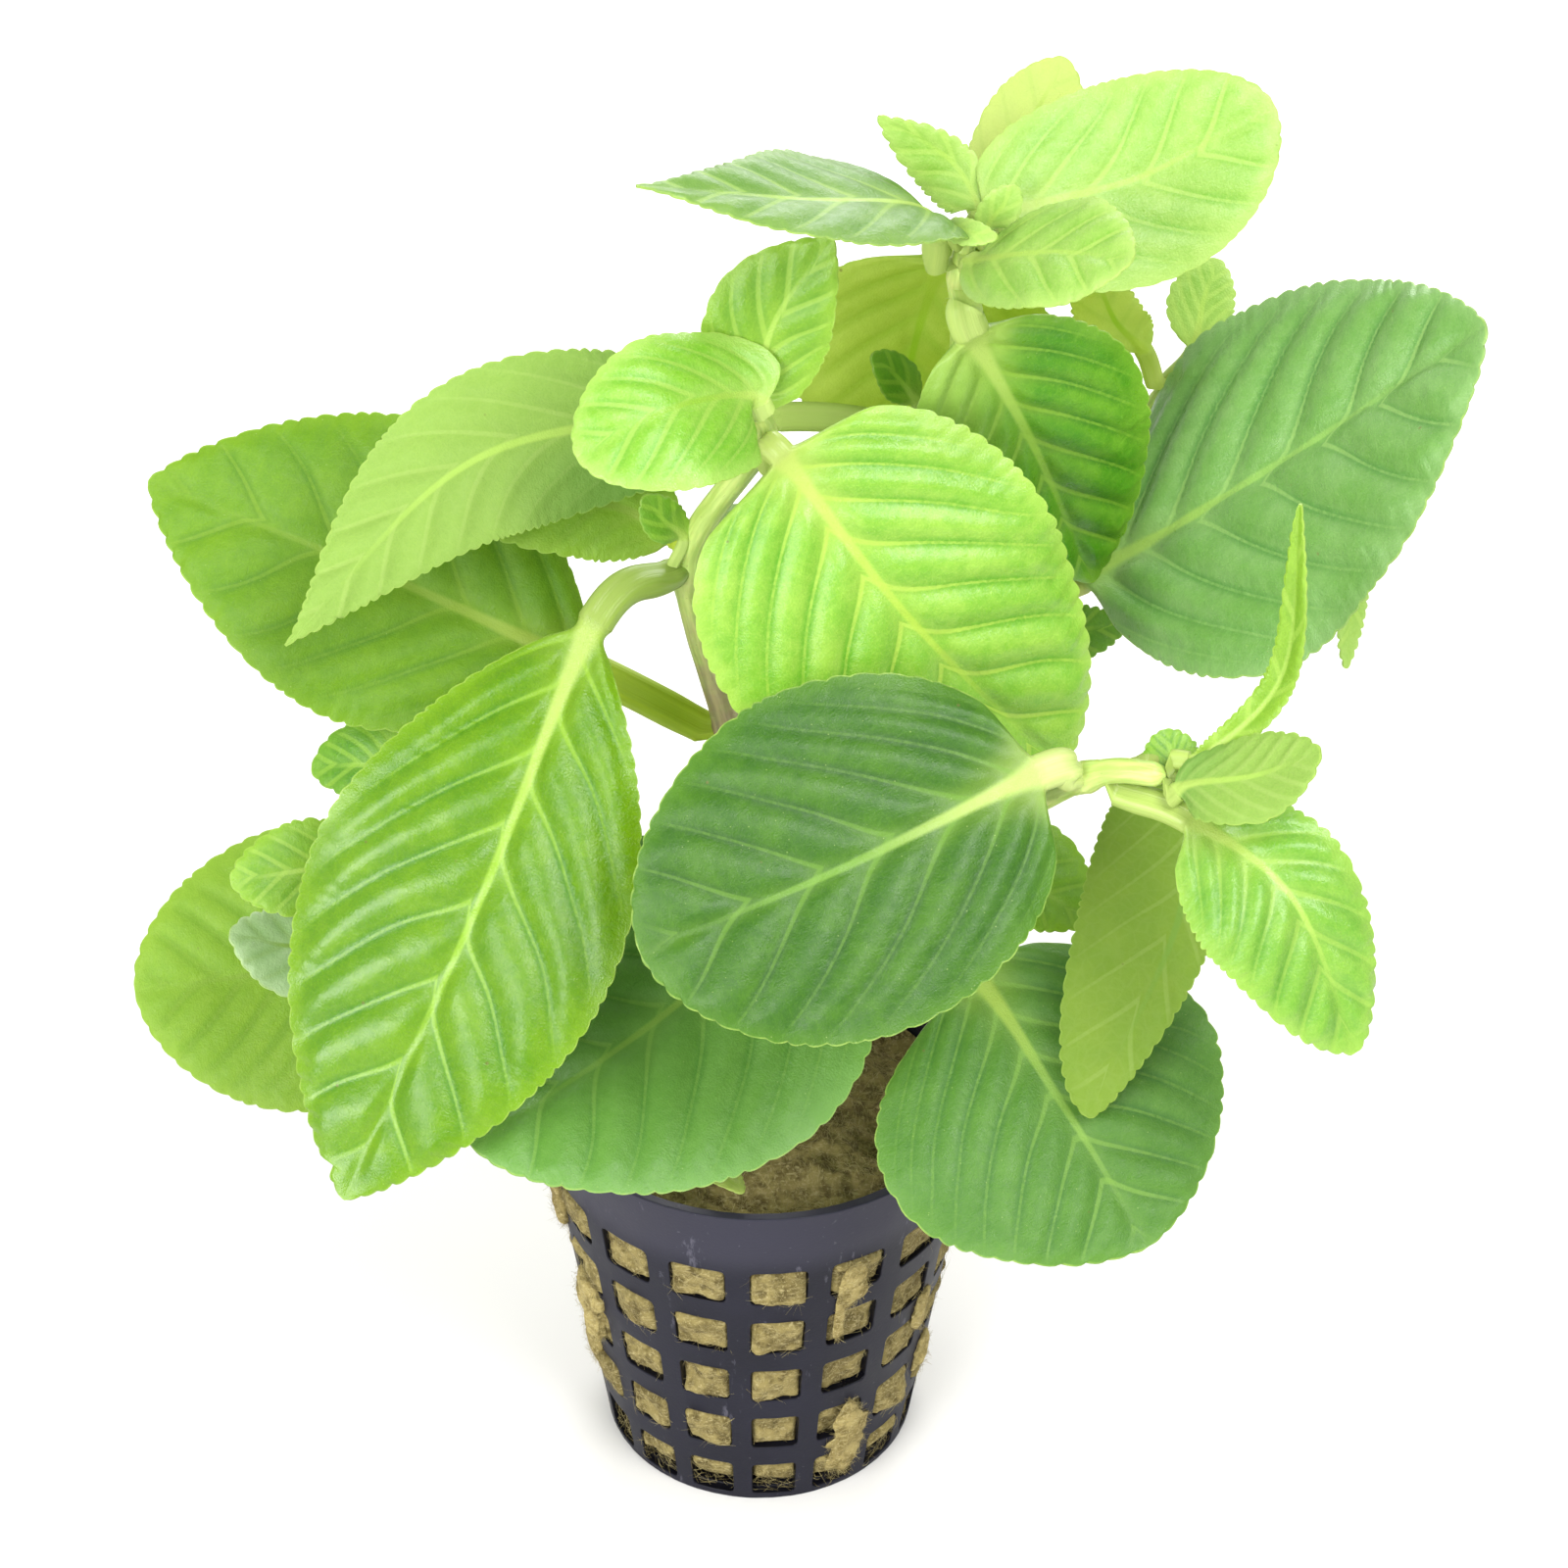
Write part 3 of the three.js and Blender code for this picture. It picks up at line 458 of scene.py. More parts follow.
def side_veins(item, x, y, side, local, length, shift, seed):
    """The side veins at the blade's points: a phase that is whole on a vein, the spacing of two veins, the
    distance to the nearest vein, and how far the panel beside it rises. local: half width of the blade.
    shift: how far the veins of the right half are out of step."""
    ax = np.abs(x)
    hook = VEIN_HOOK * np.exp(-ax / VEIN_HOOK_WIDTH)
    origin = (y - item["slant"] * ax - item["arch"] * ax ** 2 / local + hook) / length
    first, power = FIRST_VEIN, VEIN_CROWDING
    spread = (1 + first) ** power - first ** power
    drift = 0.10 * lattice_noise(np.stack([x, y, 0 * x + seed], -1), 9, seed + 11)
    order = item["veins"] * (np.maximum(origin + first, 0.01) ** power - first ** power) / spread
    phase = order + drift + np.where(side == 1, shift, 0)
    density = item["veins"] * power * np.maximum(origin + first, 0.03) ** (power - 1) / spread / length
    lean = item["slant"] + 2 * item["arch"] * ax / local + hook / VEIN_HOOK_WIDTH
    spacing = 1 / (density * np.hypot(1, lean))
    distance = np.abs(phase - np.round(phase)) * spacing
    soft = VALLEY_WIDTH / spacing
    off_vein = np.sqrt((distance / spacing) ** 2 + soft ** 2) - soft
    return phase, spacing, distance, 1 - np.abs(1 - 2 * np.minimum(off_vein, 0.5)) ** 2.2


def leaf_mesh(item, foot, root, grip, seed):
    """One leaf as rings of points and its UV maps: a closed, thin, corrugated blade that runs into its
    rounded stalk. root: the middle of the stem at its foot, or None. grip: the stem's radius there."""
    rng = np.random.default_rng(seed)
    begin = item["start"]
    widest_at = (BLADE_START + (1 - BLADE_START) * item["outline"][0] - begin) / (1 - begin)
    item = dict(item, outline=(widest_at, *item["outline"][1:]))
    widest = max(item["half"])
    half_columns, closeness = next(mesh for least, *mesh in LEAF_MESHES if widest >= least)
    curve = Curve([foot, *item["blade"]])
    start, end = np.interp([begin, 1], curve.samples, curve.reach)
    length = end - start
    teeth = max(8, round((length + 0.5 * widest) / (TOOTH_PITCH * closeness)))

    # Stations s from the blade's base to its tip, and columns v from its left margin to its right one.
    edges = [blade_edge(item, length, side, teeth, rng) for side in (0, 1)]
    row_stations = (edges[0][2] + edges[1][2]) / 2
    lead = np.zeros(STALK_ROWS)
    s = np.concatenate([lead, row_stations])[:, None]
    t_rows = np.concatenate([np.linspace(0, begin, STALK_ROWS, endpoint=False),
                             begin + (1 - begin) * row_stations])
    v = np.linspace(-1, 1, 2 * half_columns + 1)[None, :]
    side = (v > 0).astype(int)
    shifts = [np.concatenate([lead, edge[0] - row_stations])[:, None] for edge in edges]
    halves = [np.concatenate([lead, edge[1]])[:, None] for edge in edges]
    shift = np.where(side == 1, shifts[1], shifts[0])
    share_half = np.where(side == 1, halves[1], halves[0])

    # The stalk is round and the blade flat, and flat runs from 0 to 1 where the one turns into the other.
    flat = smooth(s, 0, 0.12)
    rib = item["petiole"] * (item["rib"] * (1 - s) ** 1.4 + (1 - item["rib"]) * np.exp(-s / 0.07)) + 0.05
    half = np.sqrt(np.maximum(share_half, 0) ** 2 + rib ** 2 + 0.02)
    across = (1 - flat) * np.sin(np.pi / 2 * v) + flat * v
    x = across * half
    place = s + shift * np.abs(v) ** 3
    t = np.where(t_rows[:, None] < begin, t_rows[:, None], begin + (1 - begin) * place)
    centre, along = curve.at(t)
    ways = np.cross(curve.at(np.maximum(t, begin))[1], unit(np.array(item["up"], float)))
    sideways = unit(ways - along * np.sum(ways * along, -1, keepdims=True))
    normal = np.cross(sideways, along)

    y = place * length
    ax, av = np.abs(x), np.abs(across)
    local = 0.4 * widest + 0.6 * np.maximum(blade_outline(item, s, 0), blade_outline(item, s, 1))
    vein_shift = rng.uniform(0.25, 0.6)
    phase, spacing, distance, pillow = side_veins(item, x, y, side, local, length, vein_shift, seed)
    line_fade = (1 - smooth(av, 0.8, 1.0)) * (1 - smooth(s, 0.88, 1.0)) * flat
    side_fade = (1 - smooth(av, 0.72, 1.0)) * smooth(ax, 0.4 * rib, 1.6 * rib + 1.2)
    side_fade = side_fade * (1 - smooth(s, 0.86, 1.0)) * flat
    spots = np.stack([x, y, 0 * x + 3.7 * seed], -1)
    pucker = lattice_noise(spots, 1.9, seed + 5) * 0.08 + lattice_noise(spots, 0.9, seed + 6) * 0.05
    depth = item["puff"] * RELIEF * np.clip(spacing / 4, 0.3, 1.1) * side_fade
    puff = depth * (0.85 * pillow + pucker * (0.4 + 0.6 * pillow))

    bend = flat * half * (item["fold"] * (np.sqrt(av ** 2 + 0.0016) - 0.04) - DROOP * av ** 2)
    phase_a, phase_b = rng.uniform(0, 6, 2)
    waves = np.sin(2 * np.pi * 1.6 * s + phase_a + side * 1.9)
    waves = waves + 0.6 * np.sin(2 * np.pi * 3.1 * s + phase_b + side * 0.8)
    bend = bend + flat * half * item["wave"] * waves * av ** 3
    sheet = bend - puff if item["under"] else bend + puff

    # What each side adds to the thin sheet: grooves and veins, the midrib, and the stalk's round section.
    strength = min(1.0, item["puff"] * 2.5)
    groove = np.exp(-((distance / GROOVE_WIDTH) ** 2)) * side_fade
    upper = -GROOVE_DEPTH * strength * groove + RIB_ABOVE * rib * np.exp(-((ax / rib) ** 2)) * (1 - s)
    upper = upper - 0.22 * rib * np.exp(-(((ax - 1.7 * rib) / (0.5 * rib)) ** 2)) * flat
    lower = VEIN_HEIGHT * strength * groove + RIB_BELOW * rib * np.exp(-((ax / (0.85 * rib)) ** 2))
    thickness = BLADE_HALF_THICKNESS * (1 - 0.55 * smooth(av, 0.9, 1.0))
    top_extra, bottom_extra = (lower, upper) if item["under"] else (upper, lower)
    circle = np.sqrt(np.maximum(1 - across ** 2, 0))
    channel = 0.22 * rib * np.exp(-((across / 0.5) ** 2))
    top = (1 - flat) * (0.9 * rib * circle - channel + 0.02) + flat * (thickness + top_extra) + sheet
    bottom = sheet - (1 - flat) * (0.95 * rib * circle + 0.02) - flat * (thickness + bottom_extra)

    if root is not None:
        slim = min(1.0, grip / item["petiole"])
        ease = slim + (1 - slim) * smooth(t_rows, 0, 0.12)[:, None]
        x, top, bottom = x * ease, top * ease, bottom * ease
    upper_points = centre + sideways * x[..., None] + normal * top[..., None]
    lower_points = centre + sideways * x[..., None] + normal * bottom[..., None]
    ring = np.concatenate([upper_points, lower_points[:, ::-1]], axis=1)

    steep = np.hypot(1, np.gradient(share_half, axis=0) / (np.gradient(s * length, axis=0) + 1e-6))
    rim = (1 - av) * half / np.clip(steep, 1, 8)
    upper_side = 0.0 if item["under"] else 1.0

    def both(above, below=None):
        """Values of the upper side and then the lower one, in the order of a ring."""
        above = above + 0 * x
        below = above if below is None else below + 0 * x
        return np.concatenate([above, below[:, ::-1]], axis=1)

    def pair(first, *second):
        return np.stack([both(first), both(*second)], -1)

    maps = {
        "blade": pair(x, y), "vein": pair(phase, spacing), "rim": pair(rim, upper_side, 1 - upper_side),
        "stalk": pair(ax / (rib + 0.15), 1 - smooth(s, 0.0, 0.03)), "station": pair(s, 0.0),
        "lines": pair(line_fade, av),
    }
    if root is not None:
        inward = np.linspace(0.75, 0, 4, endpoint=False)[:, None, None]
        buried = foot + (ring[:1] - foot) * (1 - 0.4 * inward) + (root - foot) * inward
        ring = np.concatenate([buried, ring], axis=0)
        maps = {key: np.concatenate([np.repeat(value[:1], 4, axis=0), value]) for key, value in maps.items()}
    return ring, maps


# Materials


def shade(red, green, blue):
    """A colour from display values of 0 to 255, as scene-linear red, green, blue and alpha."""
    def linear(value):
        value = value / 255
        return value / 12.92 if value <= 0.04045 else ((value + 0.055) / 1.055) ** 2.4
    return (linear(red), linear(green), linear(blue), 1.0)


class Shader:
    """A material's node tree, built by calls that take and return sockets."""

    def __init__(self, name):
        self.material = bpy.data.materials.new(name)
        self.material.use_nodes = True
        self.tree = self.material.node_tree
        self.tree.nodes.clear()

    def node(self, kind, inputs=None, **settings):
        made = self.tree.nodes.new("ShaderNode" + kind)
        for key, value in settings.items():
            setattr(made, key, value)
        for key, value in (inputs or {}).items():
            if isinstance(value, bpy.types.NodeSocket):
                self.tree.links.new(value, made.inputs[key])
            else:
                made.inputs[key].default_value = value
        return made

    def math(self, operation, *values, clamp=False):
        return self.node("Math", dict(enumerate(values)), operation=operation, use_clamp=clamp).outputs[0]

    def times(self, first, second):
        return self.math("MULTIPLY", first, second)

    def ramp(self, value, low, high, start=0.0, end=1.0):
        """start below low and end above high, with a smooth change between them."""
        made = self.node("MapRange", {0: value, 1: low, 2: high, 3: start, 4: end},
                         interpolation_type="SMOOTHSTEP")
        return made.outputs[0]

    def mix(self, share, first, second, blend="MIX"):
        made = self.node("Mix", {0: share, 6: first, 7: second}, data_type="RGBA", blend_type=blend)
        return made.outputs[2]

    def layers(self, colour, *laid):
        """colour with others laid over it in turn, each as its share and itself."""
        for share, tint in laid:
            colour = self.mix(share, colour, tint)
        return colour

    def uv(self, map_name):
        return self.node("UVMap", uv_map=map_name).outputs[0]

    def pair(self, map_name):
        """The two values of a UV map."""
        split = self.node("SeparateXYZ", {0: self.uv(map_name)})
        return split.outputs[0], split.outputs[1]

    def stretched(self, where, scale, turn=(0.0, 0.0, 0.0)):
        return self.node("Mapping", {0: where, 2: turn, 3: scale}).outputs[0]

    def noise(self, where, scale, detail=2.0, roughness=0.5):
        return self.node("TexNoise", {"Vector": where, "Scale": scale, "Detail": detail,
                                      "Roughness": roughness}).outputs[0]

    def cells(self, where, scale, feature="DISTANCE_TO_EDGE"):
        made = self.node("TexVoronoi", {"Vector": where, "Scale": scale}, feature=feature)
        return made.outputs["Distance"]

    def bump(self, height, distance, strength=1.0, below=None):
        """The normal with a bump of height laid over it. below: the normal that it starts from, if any."""
        inputs = {"Height": height, "Distance": distance, "Strength": strength}
        if below is not None:
            inputs["Normal"] = below
        return self.node("Bump", inputs).outputs[0]

    def skin(self, colour, roughness, specular, more=None):
        """An opaque surface. more: further inputs by name."""
        return self.node("BsdfPrincipled", {"Base Color": colour, "Roughness": roughness,
                                            "Specular IOR Level": specular, **(more or {})}).outputs[0]

    def finish(self, surface):
        self.node("OutputMaterial", {0: surface})
        return self.material


# Colours are display values. ribs: of the stalk, the midrib and its tip.
GREEN_RIB = ((176, 196, 104), (184, 208, 104), (176, 208, 96))
YELLOW_RIB = ((180, 198, 108), (188, 208, 100), (172, 204, 74))
FRESH_RIB = ((196, 216, 124), (186, 212, 104), (150, 192, 66))
SHARP_RIB = ((160, 182, 92), (180, 204, 100), (152, 194, 58))
DULL_RIB = ((192, 214, 60), (166, 188, 78), (136, 168, 56))
OLD_RIB = ((190, 204, 124), (176, 198, 104), (112, 154, 56))
BLUE_RIB = ((170, 178, 90), (160, 194, 88), (146, 188, 96))
DEEP_RIB = ((180, 198, 104), (160, 188, 76), (134, 174, 72))

LOOKS = {
    "lime": dict(base=(150, 192, 86), deep=(112, 172, 40), light=(190, 216, 122), under=(166, 192, 96),
                 ribs=GREEN_RIB, rough=0.34, glow=0.34, lines=0.6, coat=0.08),
    "misty": dict(base=(104, 146, 60), deep=(84, 134, 50), light=(138, 172, 86), under=(150, 182, 90),
                  ribs=GREEN_RIB, rough=0.38, glow=0.3, lines=0.5, coat=0.1),
    "tender": dict(base=(134, 190, 56), deep=(96, 168, 30), light=(188, 218, 116), under=(160, 190, 90),
                   ribs=FRESH_RIB, rough=0.3, glow=0.34, lines=0.7, coat=0.2),
    "sprig": dict(base=(122, 170, 46), deep=(84, 146, 26), light=(164, 202, 70), under=(156, 186, 90),
                  ribs=GREEN_RIB, rough=0.34, glow=0.32, lines=0.55, coat=0.1),
    "crisp": dict(base=(120, 174, 58), deep=(80, 146, 36), light=(166, 204, 88), under=(160, 190, 90),
                  ribs=GREEN_RIB, rough=0.26, glow=0.3, lines=0.4, coat=0.35),
    "bright": dict(base=(130, 184, 56), deep=(84, 154, 24), light=(182, 214, 94), under=(160, 190, 90),
                   ribs=YELLOW_RIB, rough=0.33, glow=0.28, lines=0.8, coat=0.3),
    "fresh": dict(base=(80, 146, 24), deep=(50, 118, 14), light=(140, 186, 56), under=(136, 172, 76),
                  ribs=FRESH_RIB, rough=0.34, glow=0.3, lines=0.65, coat=0.2, pale=0.9,
                  wash=(1, (168, 204, 92), 0.75)),
    "glossy": dict(base=(94, 142, 12), deep=(64, 124, 8), light=(134, 176, 26), under=(134, 170, 76),
                   ribs=SHARP_RIB, rough=0.26, glow=0.28, lines=0.6, coat=0.6, pale=0.3, shine_from=0.4),
    "dull": dict(base=(104, 150, 22), deep=(80, 130, 18), light=(130, 170, 34), under=(138, 172, 74),
                 ribs=DULL_RIB, rough=0.46, glow=0.32, lines=0.5, coat=0.0),
    "plain": dict(base=(134, 176, 46), deep=(116, 160, 36), light=(154, 190, 62), under=(142, 174, 80),
                  ribs=DULL_RIB, rough=0.46, glow=0.32, lines=0.3, coat=0.0),
    "dark": dict(base=(52, 98, 18), deep=(36, 80, 14), light=(86, 132, 28), under=(116, 152, 84),
                 ribs=OLD_RIB, rough=0.42, glow=0.16, lines=0.5, coat=0.05),
    "deep": dict(base=(78, 126, 40), deep=(58, 108, 36), light=(102, 148, 58), under=(124, 158, 90),
                 ribs=DEEP_RIB, rough=0.42, glow=0.22, lines=0.6, coat=0.0),
    "shaded": dict(base=(96, 146, 56), deep=(76, 130, 42), light=(116, 164, 74), under=(124, 158, 90),
                   ribs=DEEP_RIB, rough=0.4, glow=0.24, lines=0.6, coat=0.1),
    # blue: its pale greyish greens and light blotches partly stand in for the leaf's veil of sheen, as
    # painted sheen
    "blue": dict(base=(112, 160, 76), deep=(84, 138, 64), light=(142, 180, 112), under=(124, 158, 90),
                 ribs=BLUE_RIB, rough=0.34, glow=0.26, lines=0.8, coat=0.12),
    # grey: pale greyish greens that are painted sheen of a glossy leaf, and painted light where it lies in
    # shade
    "sheen_grey": dict(base=(170, 200, 146), deep=(142, 180, 118), light=(190, 214, 166), under=(150, 182, 116),
                 ribs=DULL_RIB, rough=0.28, glow=0.3, lines=0.3, coat=0.35),
    "olive": dict(base=(140, 170, 54), deep=(122, 154, 42), light=(160, 186, 74), under=(136, 170, 62),
                  ribs=DEEP_RIB, rough=0.5, glow=0.42, lines=0.3, coat=0.0),
    # sallow: a pale yellow-green, lifted further as painted light shining through from behind this shaded
    # leaf
    "sallow_backlit": dict(base=(196, 212, 112), deep=(176, 198, 92), light=(208, 222, 134), under=(170, 196, 90),
                   ribs=YELLOW_RIB, rough=0.5, glow=0.62, lines=0.3, coat=0.0),
    # pale: its wash is a darker green over one half towards the base, painted shade
    "pale": dict(base=(130, 178, 64), deep=(92, 144, 66), light=(158, 194, 84), under=(148, 182, 82),
                 ribs=GREEN_RIB, rough=0.44, glow=0.36, lines=0.36, coat=0.1,
                 wash=(-1, (98, 148, 60), 0.75)),
    # sheer: pale greens, lifted further as painted light shining through these leaves from behind
    "sheer": dict(base=(196, 214, 122), deep=(176, 202, 100), light=(206, 220, 136),
                  under=(208, 220, 144), ribs=YELLOW_RIB, rough=0.46, glow=0.6, lines=0.3, coat=0.0),
}
# a thin pale line along the margin: partly the margin's own paler green, partly a painted rim highlight
EDGE_COLOUR = shade(176, 204, 96)
SPECK_COLOUR = shade(110, 96, 52)
DOT_COLOUR = shade(180, 200, 120)
UNDER_VEIN_COLOUR = shade(184, 206, 120)


def leaf_lines(made, blade, aside, reach):
    """How far a point of the leaf lies from the nearest side vein, and its share of the vein's colour."""
    phase, spacing = made.pair("vein")
    away = made.times(made.math("PINGPONG", phase, 0.5), spacing)
    width = made.ramp(aside, 0.0, 7.0, 0.28, 0.16)
    line = made.ramp(made.math("DIVIDE", away, width), 0.5, 1.3, 1.0, 0.0)
    line = made.times(line, made.times(reach, made.ramp(aside, 1.0, 13.0, 1.0, 0.55)))
    gaps = made.ramp(made.noise(blade, 1.7), 0.4, 0.6, 1.0, 0.0)
    gaps = made.times(gaps, made.ramp(aside, 1.0, 9.0, 0.05, 0.5))
    return away, made.times(line, made.math("SUBTRACT", 1.0, gaps))


def leaf_material(name, base, deep, light, under, ribs, rough, glow, lines, coat, pale=0.5, shine_from=0.0,
                  wash=None):
    """The skin of one kind of leaf. deep and light: its darker and lighter greens. deep also gives the
    painted shade in the grooves along the side veins and on the underside towards the base, and light the
    blotches,
    which are partly painted sheen. under: its underside. glow: share of the light that comes through. lines:
    how strong the side veins' colour is. pale: how far the blade pales beside its midrib at the base.
    shine_from: the station from which its right half and tip shine, or 0 for an even shine. wash: a colour
    over one half towards the base, as the half's sign, the colour and its share; on the pale look a darker
    green that is painted shade."""
    base, deep, light, under = (shade(*colour) for colour in (base, deep, light, under))
    stalk_colour, rib_colour, tip_colour = (shade(*colour) for colour in ribs)
    made = Shader("leaf_" + name)
    blade = made.uv("blade")
    sideways = made.pair("blade")[0]
    aside = made.math("ABSOLUTE", sideways)
    rim, above = made.pair("rim")
    rib, stalk = made.pair("stalk")
    station = made.pair("station")[0]
    reach, across = made.pair("lines")
    away, line = leaf_lines(made, blade, aside, reach)
    patches = made.ramp(made.noise(blade, 0.16, 3.0, 0.6), 0.38, 0.66)
    clouds = made.ramp(made.noise(blade, 0.55, 3.0, 0.6), 0.4, 0.66)
    meshes = made.cells(blade, 0.75)
    net = made.ramp(meshes, 0.0, 0.16, 1.0, 0.0)
    grain = made.noise(blade, 4.6, 2.0, 0.6)

    # a darker band along each side vein: painted shade in the grooves between the raised panels, which are
    # also rougher
    valley_shade = made.times(reach, made.ramp(across, 0.45, 0.9, 1.0, 0.25))
    valley_shade = made.times(made.ramp(away, 0.1, 0.9, 1.0, 0.0), valley_shade)
    warm = made.times(made.ramp(away, 0.0, 1.1, 1.0, 0.0), made.ramp(aside, 0.5, 7.0, 1.0, 0.0))
    warm = made.times(made.times(warm, reach), made.ramp(station, 0.2, 0.8, 0.6, 0.2))
    halo = made.times(made.ramp(rib, 0.9, 5.5, 1.0, 0.0), made.ramp(station, 0.02, 0.42, pale, 0.1))
    upper = made.layers(
        base,
        # lighter blotches: partly the leaf's own mottling, partly painted sheen on its panels
        (made.times(patches, 0.4), light),
        (made.times(clouds, 0.2), deep),
        (made.times(valley_shade, 0.85), deep),
        (made.times(net, 0.10), light),
        # fine speckle: partly the skin's own fine mottling, its lighter specks partly painted sparkle of the
        # sheen
        (made.ramp(grain, 0.36, 0.66, 0.16, 0.0), deep),
        (made.ramp(grain, 0.5, 0.75, 0.0, 0.2), light),
        (made.ramp(rim, 0.0, 2.2, 0.4, 0.0), light),
        (warm, made.mix(0.5, light, tip_colour)),
        (halo, made.mix(made.ramp(station, 0.0, 0.25, 0.2, 0.7), rib_colour, light)),
        (made.times(line, lines), made.mix(0.4, tip_colour, light)),
        (made.ramp(made.cells(blade, 0.9, "F1"), 0.03, 0.08, 0.35, 0.0), DOT_COLOUR))
    lower = made.layers(
        under,
        (made.times(patches, 0.25), light),
        # painted shade: the underside darker towards the base, under the leaves above it
        (made.ramp(station, 0.0, 0.5, 0.45, 0.0), deep),
        (made.ramp(grain, 0.36, 0.66, 0.10, 0.0), deep),
        (made.times(line, 0.24), UNDER_VEIN_COLOUR),
        (made.times(net, 0.06), UNDER_VEIN_COLOUR))
    colour = made.mix(above, lower, upper)
    # on the pale look the wash is a darker green, painted shade over one half towards the base
    if wash:
        half, tint, share = wash
        washed = made.ramp(made.times(sideways, half), -1.0, 5.0, 0.0, share)
        colour = made.mix(made.times(washed, made.ramp(station, 0.15, 0.6, 1.0, 0.0)), colour, shade(*tint))
    rib_mask = made.times(made.ramp(rib, 0.45, 1.35, 1.0, 0.0), made.ramp(station, 0.5, 0.93, 0.85, 0.0))
    # the margin's thin pale line, partly a painted rim highlight
    edge_mask = made.times(made.ramp(rim, 0.04, 0.2, 0.5, 0.0), made.ramp(clouds, 0.0, 1.0, 0.5, 1.0))
    streaks = made.noise(made.stretched(blade, (1.0, 0.15, 1.0)), 2.2, 3.0)
    colour = made.layers(
        colour,
        (rib_mask, made.mix(made.ramp(station, 0.12, 0.5), rib_colour, tip_colour)),
        (edge_mask, EDGE_COLOUR),
        (made.times(stalk, 0.9), made.mix(made.ramp(streaks, 0.36, 0.64, 0.2, 0.0), stalk_colour, light)),
        (made.ramp(made.cells(blade, 0.2, "F1"), 0.02, 0.05, 0.55, 0.0), SPECK_COLOUR))

    uneven = made.ramp(made.noise(blade, 0.9, 3.0), 0.3, 0.7, -0.08, 0.08)
    rough_top = made.math("ADD", made.math("MULTIPLY_ADD", valley_shade, 0.10, rough), uneven)
    roughness = made.math("MULTIPLY_ADD", made.math("SUBTRACT", 1.0, above), 0.22, rough_top, clamp=True)
    normal = made.bump(grain, 0.00009, 0.8)
    normal = made.bump(meshes, 0.00008, 0.4, normal)
    normal = made.bump(made.noise(blade, 1.2), 0.00016, 0.5, normal)
    film = made.bump(made.noise(blade, 4.2, 2.0, 0.6), 0.00006, 0.8)
    shine = made.times(above, made.times(made.ramp(stalk, 0.0, 1.0, 1.0, 0.3), coat))
    if shine_from:
        shiny = made.ramp(station, shine_from - 0.3, shine_from + 0.15, 0.04, 1.0)
        shine = made.times(shine, made.times(shiny, made.ramp(sideways, -6.0, 4.0, 0.35, 1.0)))
    skin = made.skin(colour, roughness, 0.36, {
        "Normal": normal, "Coat Weight": shine, "Coat Roughness": 0.12, "Coat Normal": film})
    lit = made.mix(0.5, colour, made.mix(1.0, colour, (1.0, 1.0, 0.35, 1.0), "MULTIPLY"))
    through = made.node("BsdfTranslucent", {"Color": lit, "Normal": normal}).outputs[0]
    return made.finish(made.node("MixShader", {0: glow, 1: skin, 2: through}).outputs[0])


def stem_material():
    made = Shader("stem_skin")
    around = made.uv("skin")
    share, node = made.pair("place")
    streaks = made.noise(made.stretched(around, (1.0, 0.12, 1.0)), 1.6, 3.0)
    blotches = made.noise(around, 0.35, 3.0, 0.6)
    green = made.mix(made.ramp(streaks, 0.35, 0.65), shade(154, 180, 84), shade(182, 202, 112))
    brown = made.mix(made.ramp(streaks, 0.35, 0.65), shade(128, 108, 80), shade(158, 136, 104))
    height = made.math("ADD", share, made.math("MULTIPLY_ADD", blotches, 0.24, -0.12))
    dots = made.times(made.ramp(made.cells(around, 0.9, "F1"), 0.05, 0.1, 1.0, 0.0), 0.5)
    colour = made.layers(brown, (made.ramp(height, 0.5, 0.78), green),
                         (made.times(node, 0.35), shade(176, 178, 112)), (dots, shade(104, 84, 50)))
    return made.finish(made.skin(colour, made.ramp(blotches, 0.3, 0.7, 0.36, 0.55), 0.5, {
        "Normal": made.bump(streaks, 0.00008, 0.6), "Subsurface Weight": 0.15, "Subsurface Scale": 0.002}))


def strand_material(name, dark, light, roughness):
    made = Shader(name)
    return made.finish(made.skin(made.mix(made.pair("tone")[0], dark, light), roughness, 0.3))


def pot_material(name, dark, light, rough, scuffs):
    """Moulded black plastic, paler on the plain band above the holes."""
    made = Shader(name)
    where = made.node("NewGeometry").outputs["Position"]
    height = made.node("SeparateXYZ", {0: where}).outputs[2]
    band = made.ramp(height, (HOLE_TOP - 1.5) * MM, (HOLE_TOP + 3.5) * MM)
    haze = made.noise(where, 90.0, 4.0, 0.6)
    fine = made.noise(made.stretched(where, (1.0, 1.0, 0.25)), 420.0, 5.0, 0.7)
    dust = made.ramp(made.noise(where, 1500.0), 0.70, 0.78)
    colour = made.layers(
        dark, (made.ramp(haze, 0.3, 0.7), light), (made.times(band, 0.5), shade(62, 61, 74)),
        (made.times(made.ramp(fine, 0.62, 0.72), scuffs), shade(126, 124, 138)),
        (made.times(dust, 0.25 * scuffs), shade(170, 168, 176)))
    return made.finish(made.skin(colour, made.ramp(haze, 0.3, 0.7, rough - 0.06, rough + 0.08), 0.13, {
        "Normal": made.bump(made.noise(where, 2600.0), 0.00003, 0.5)}))


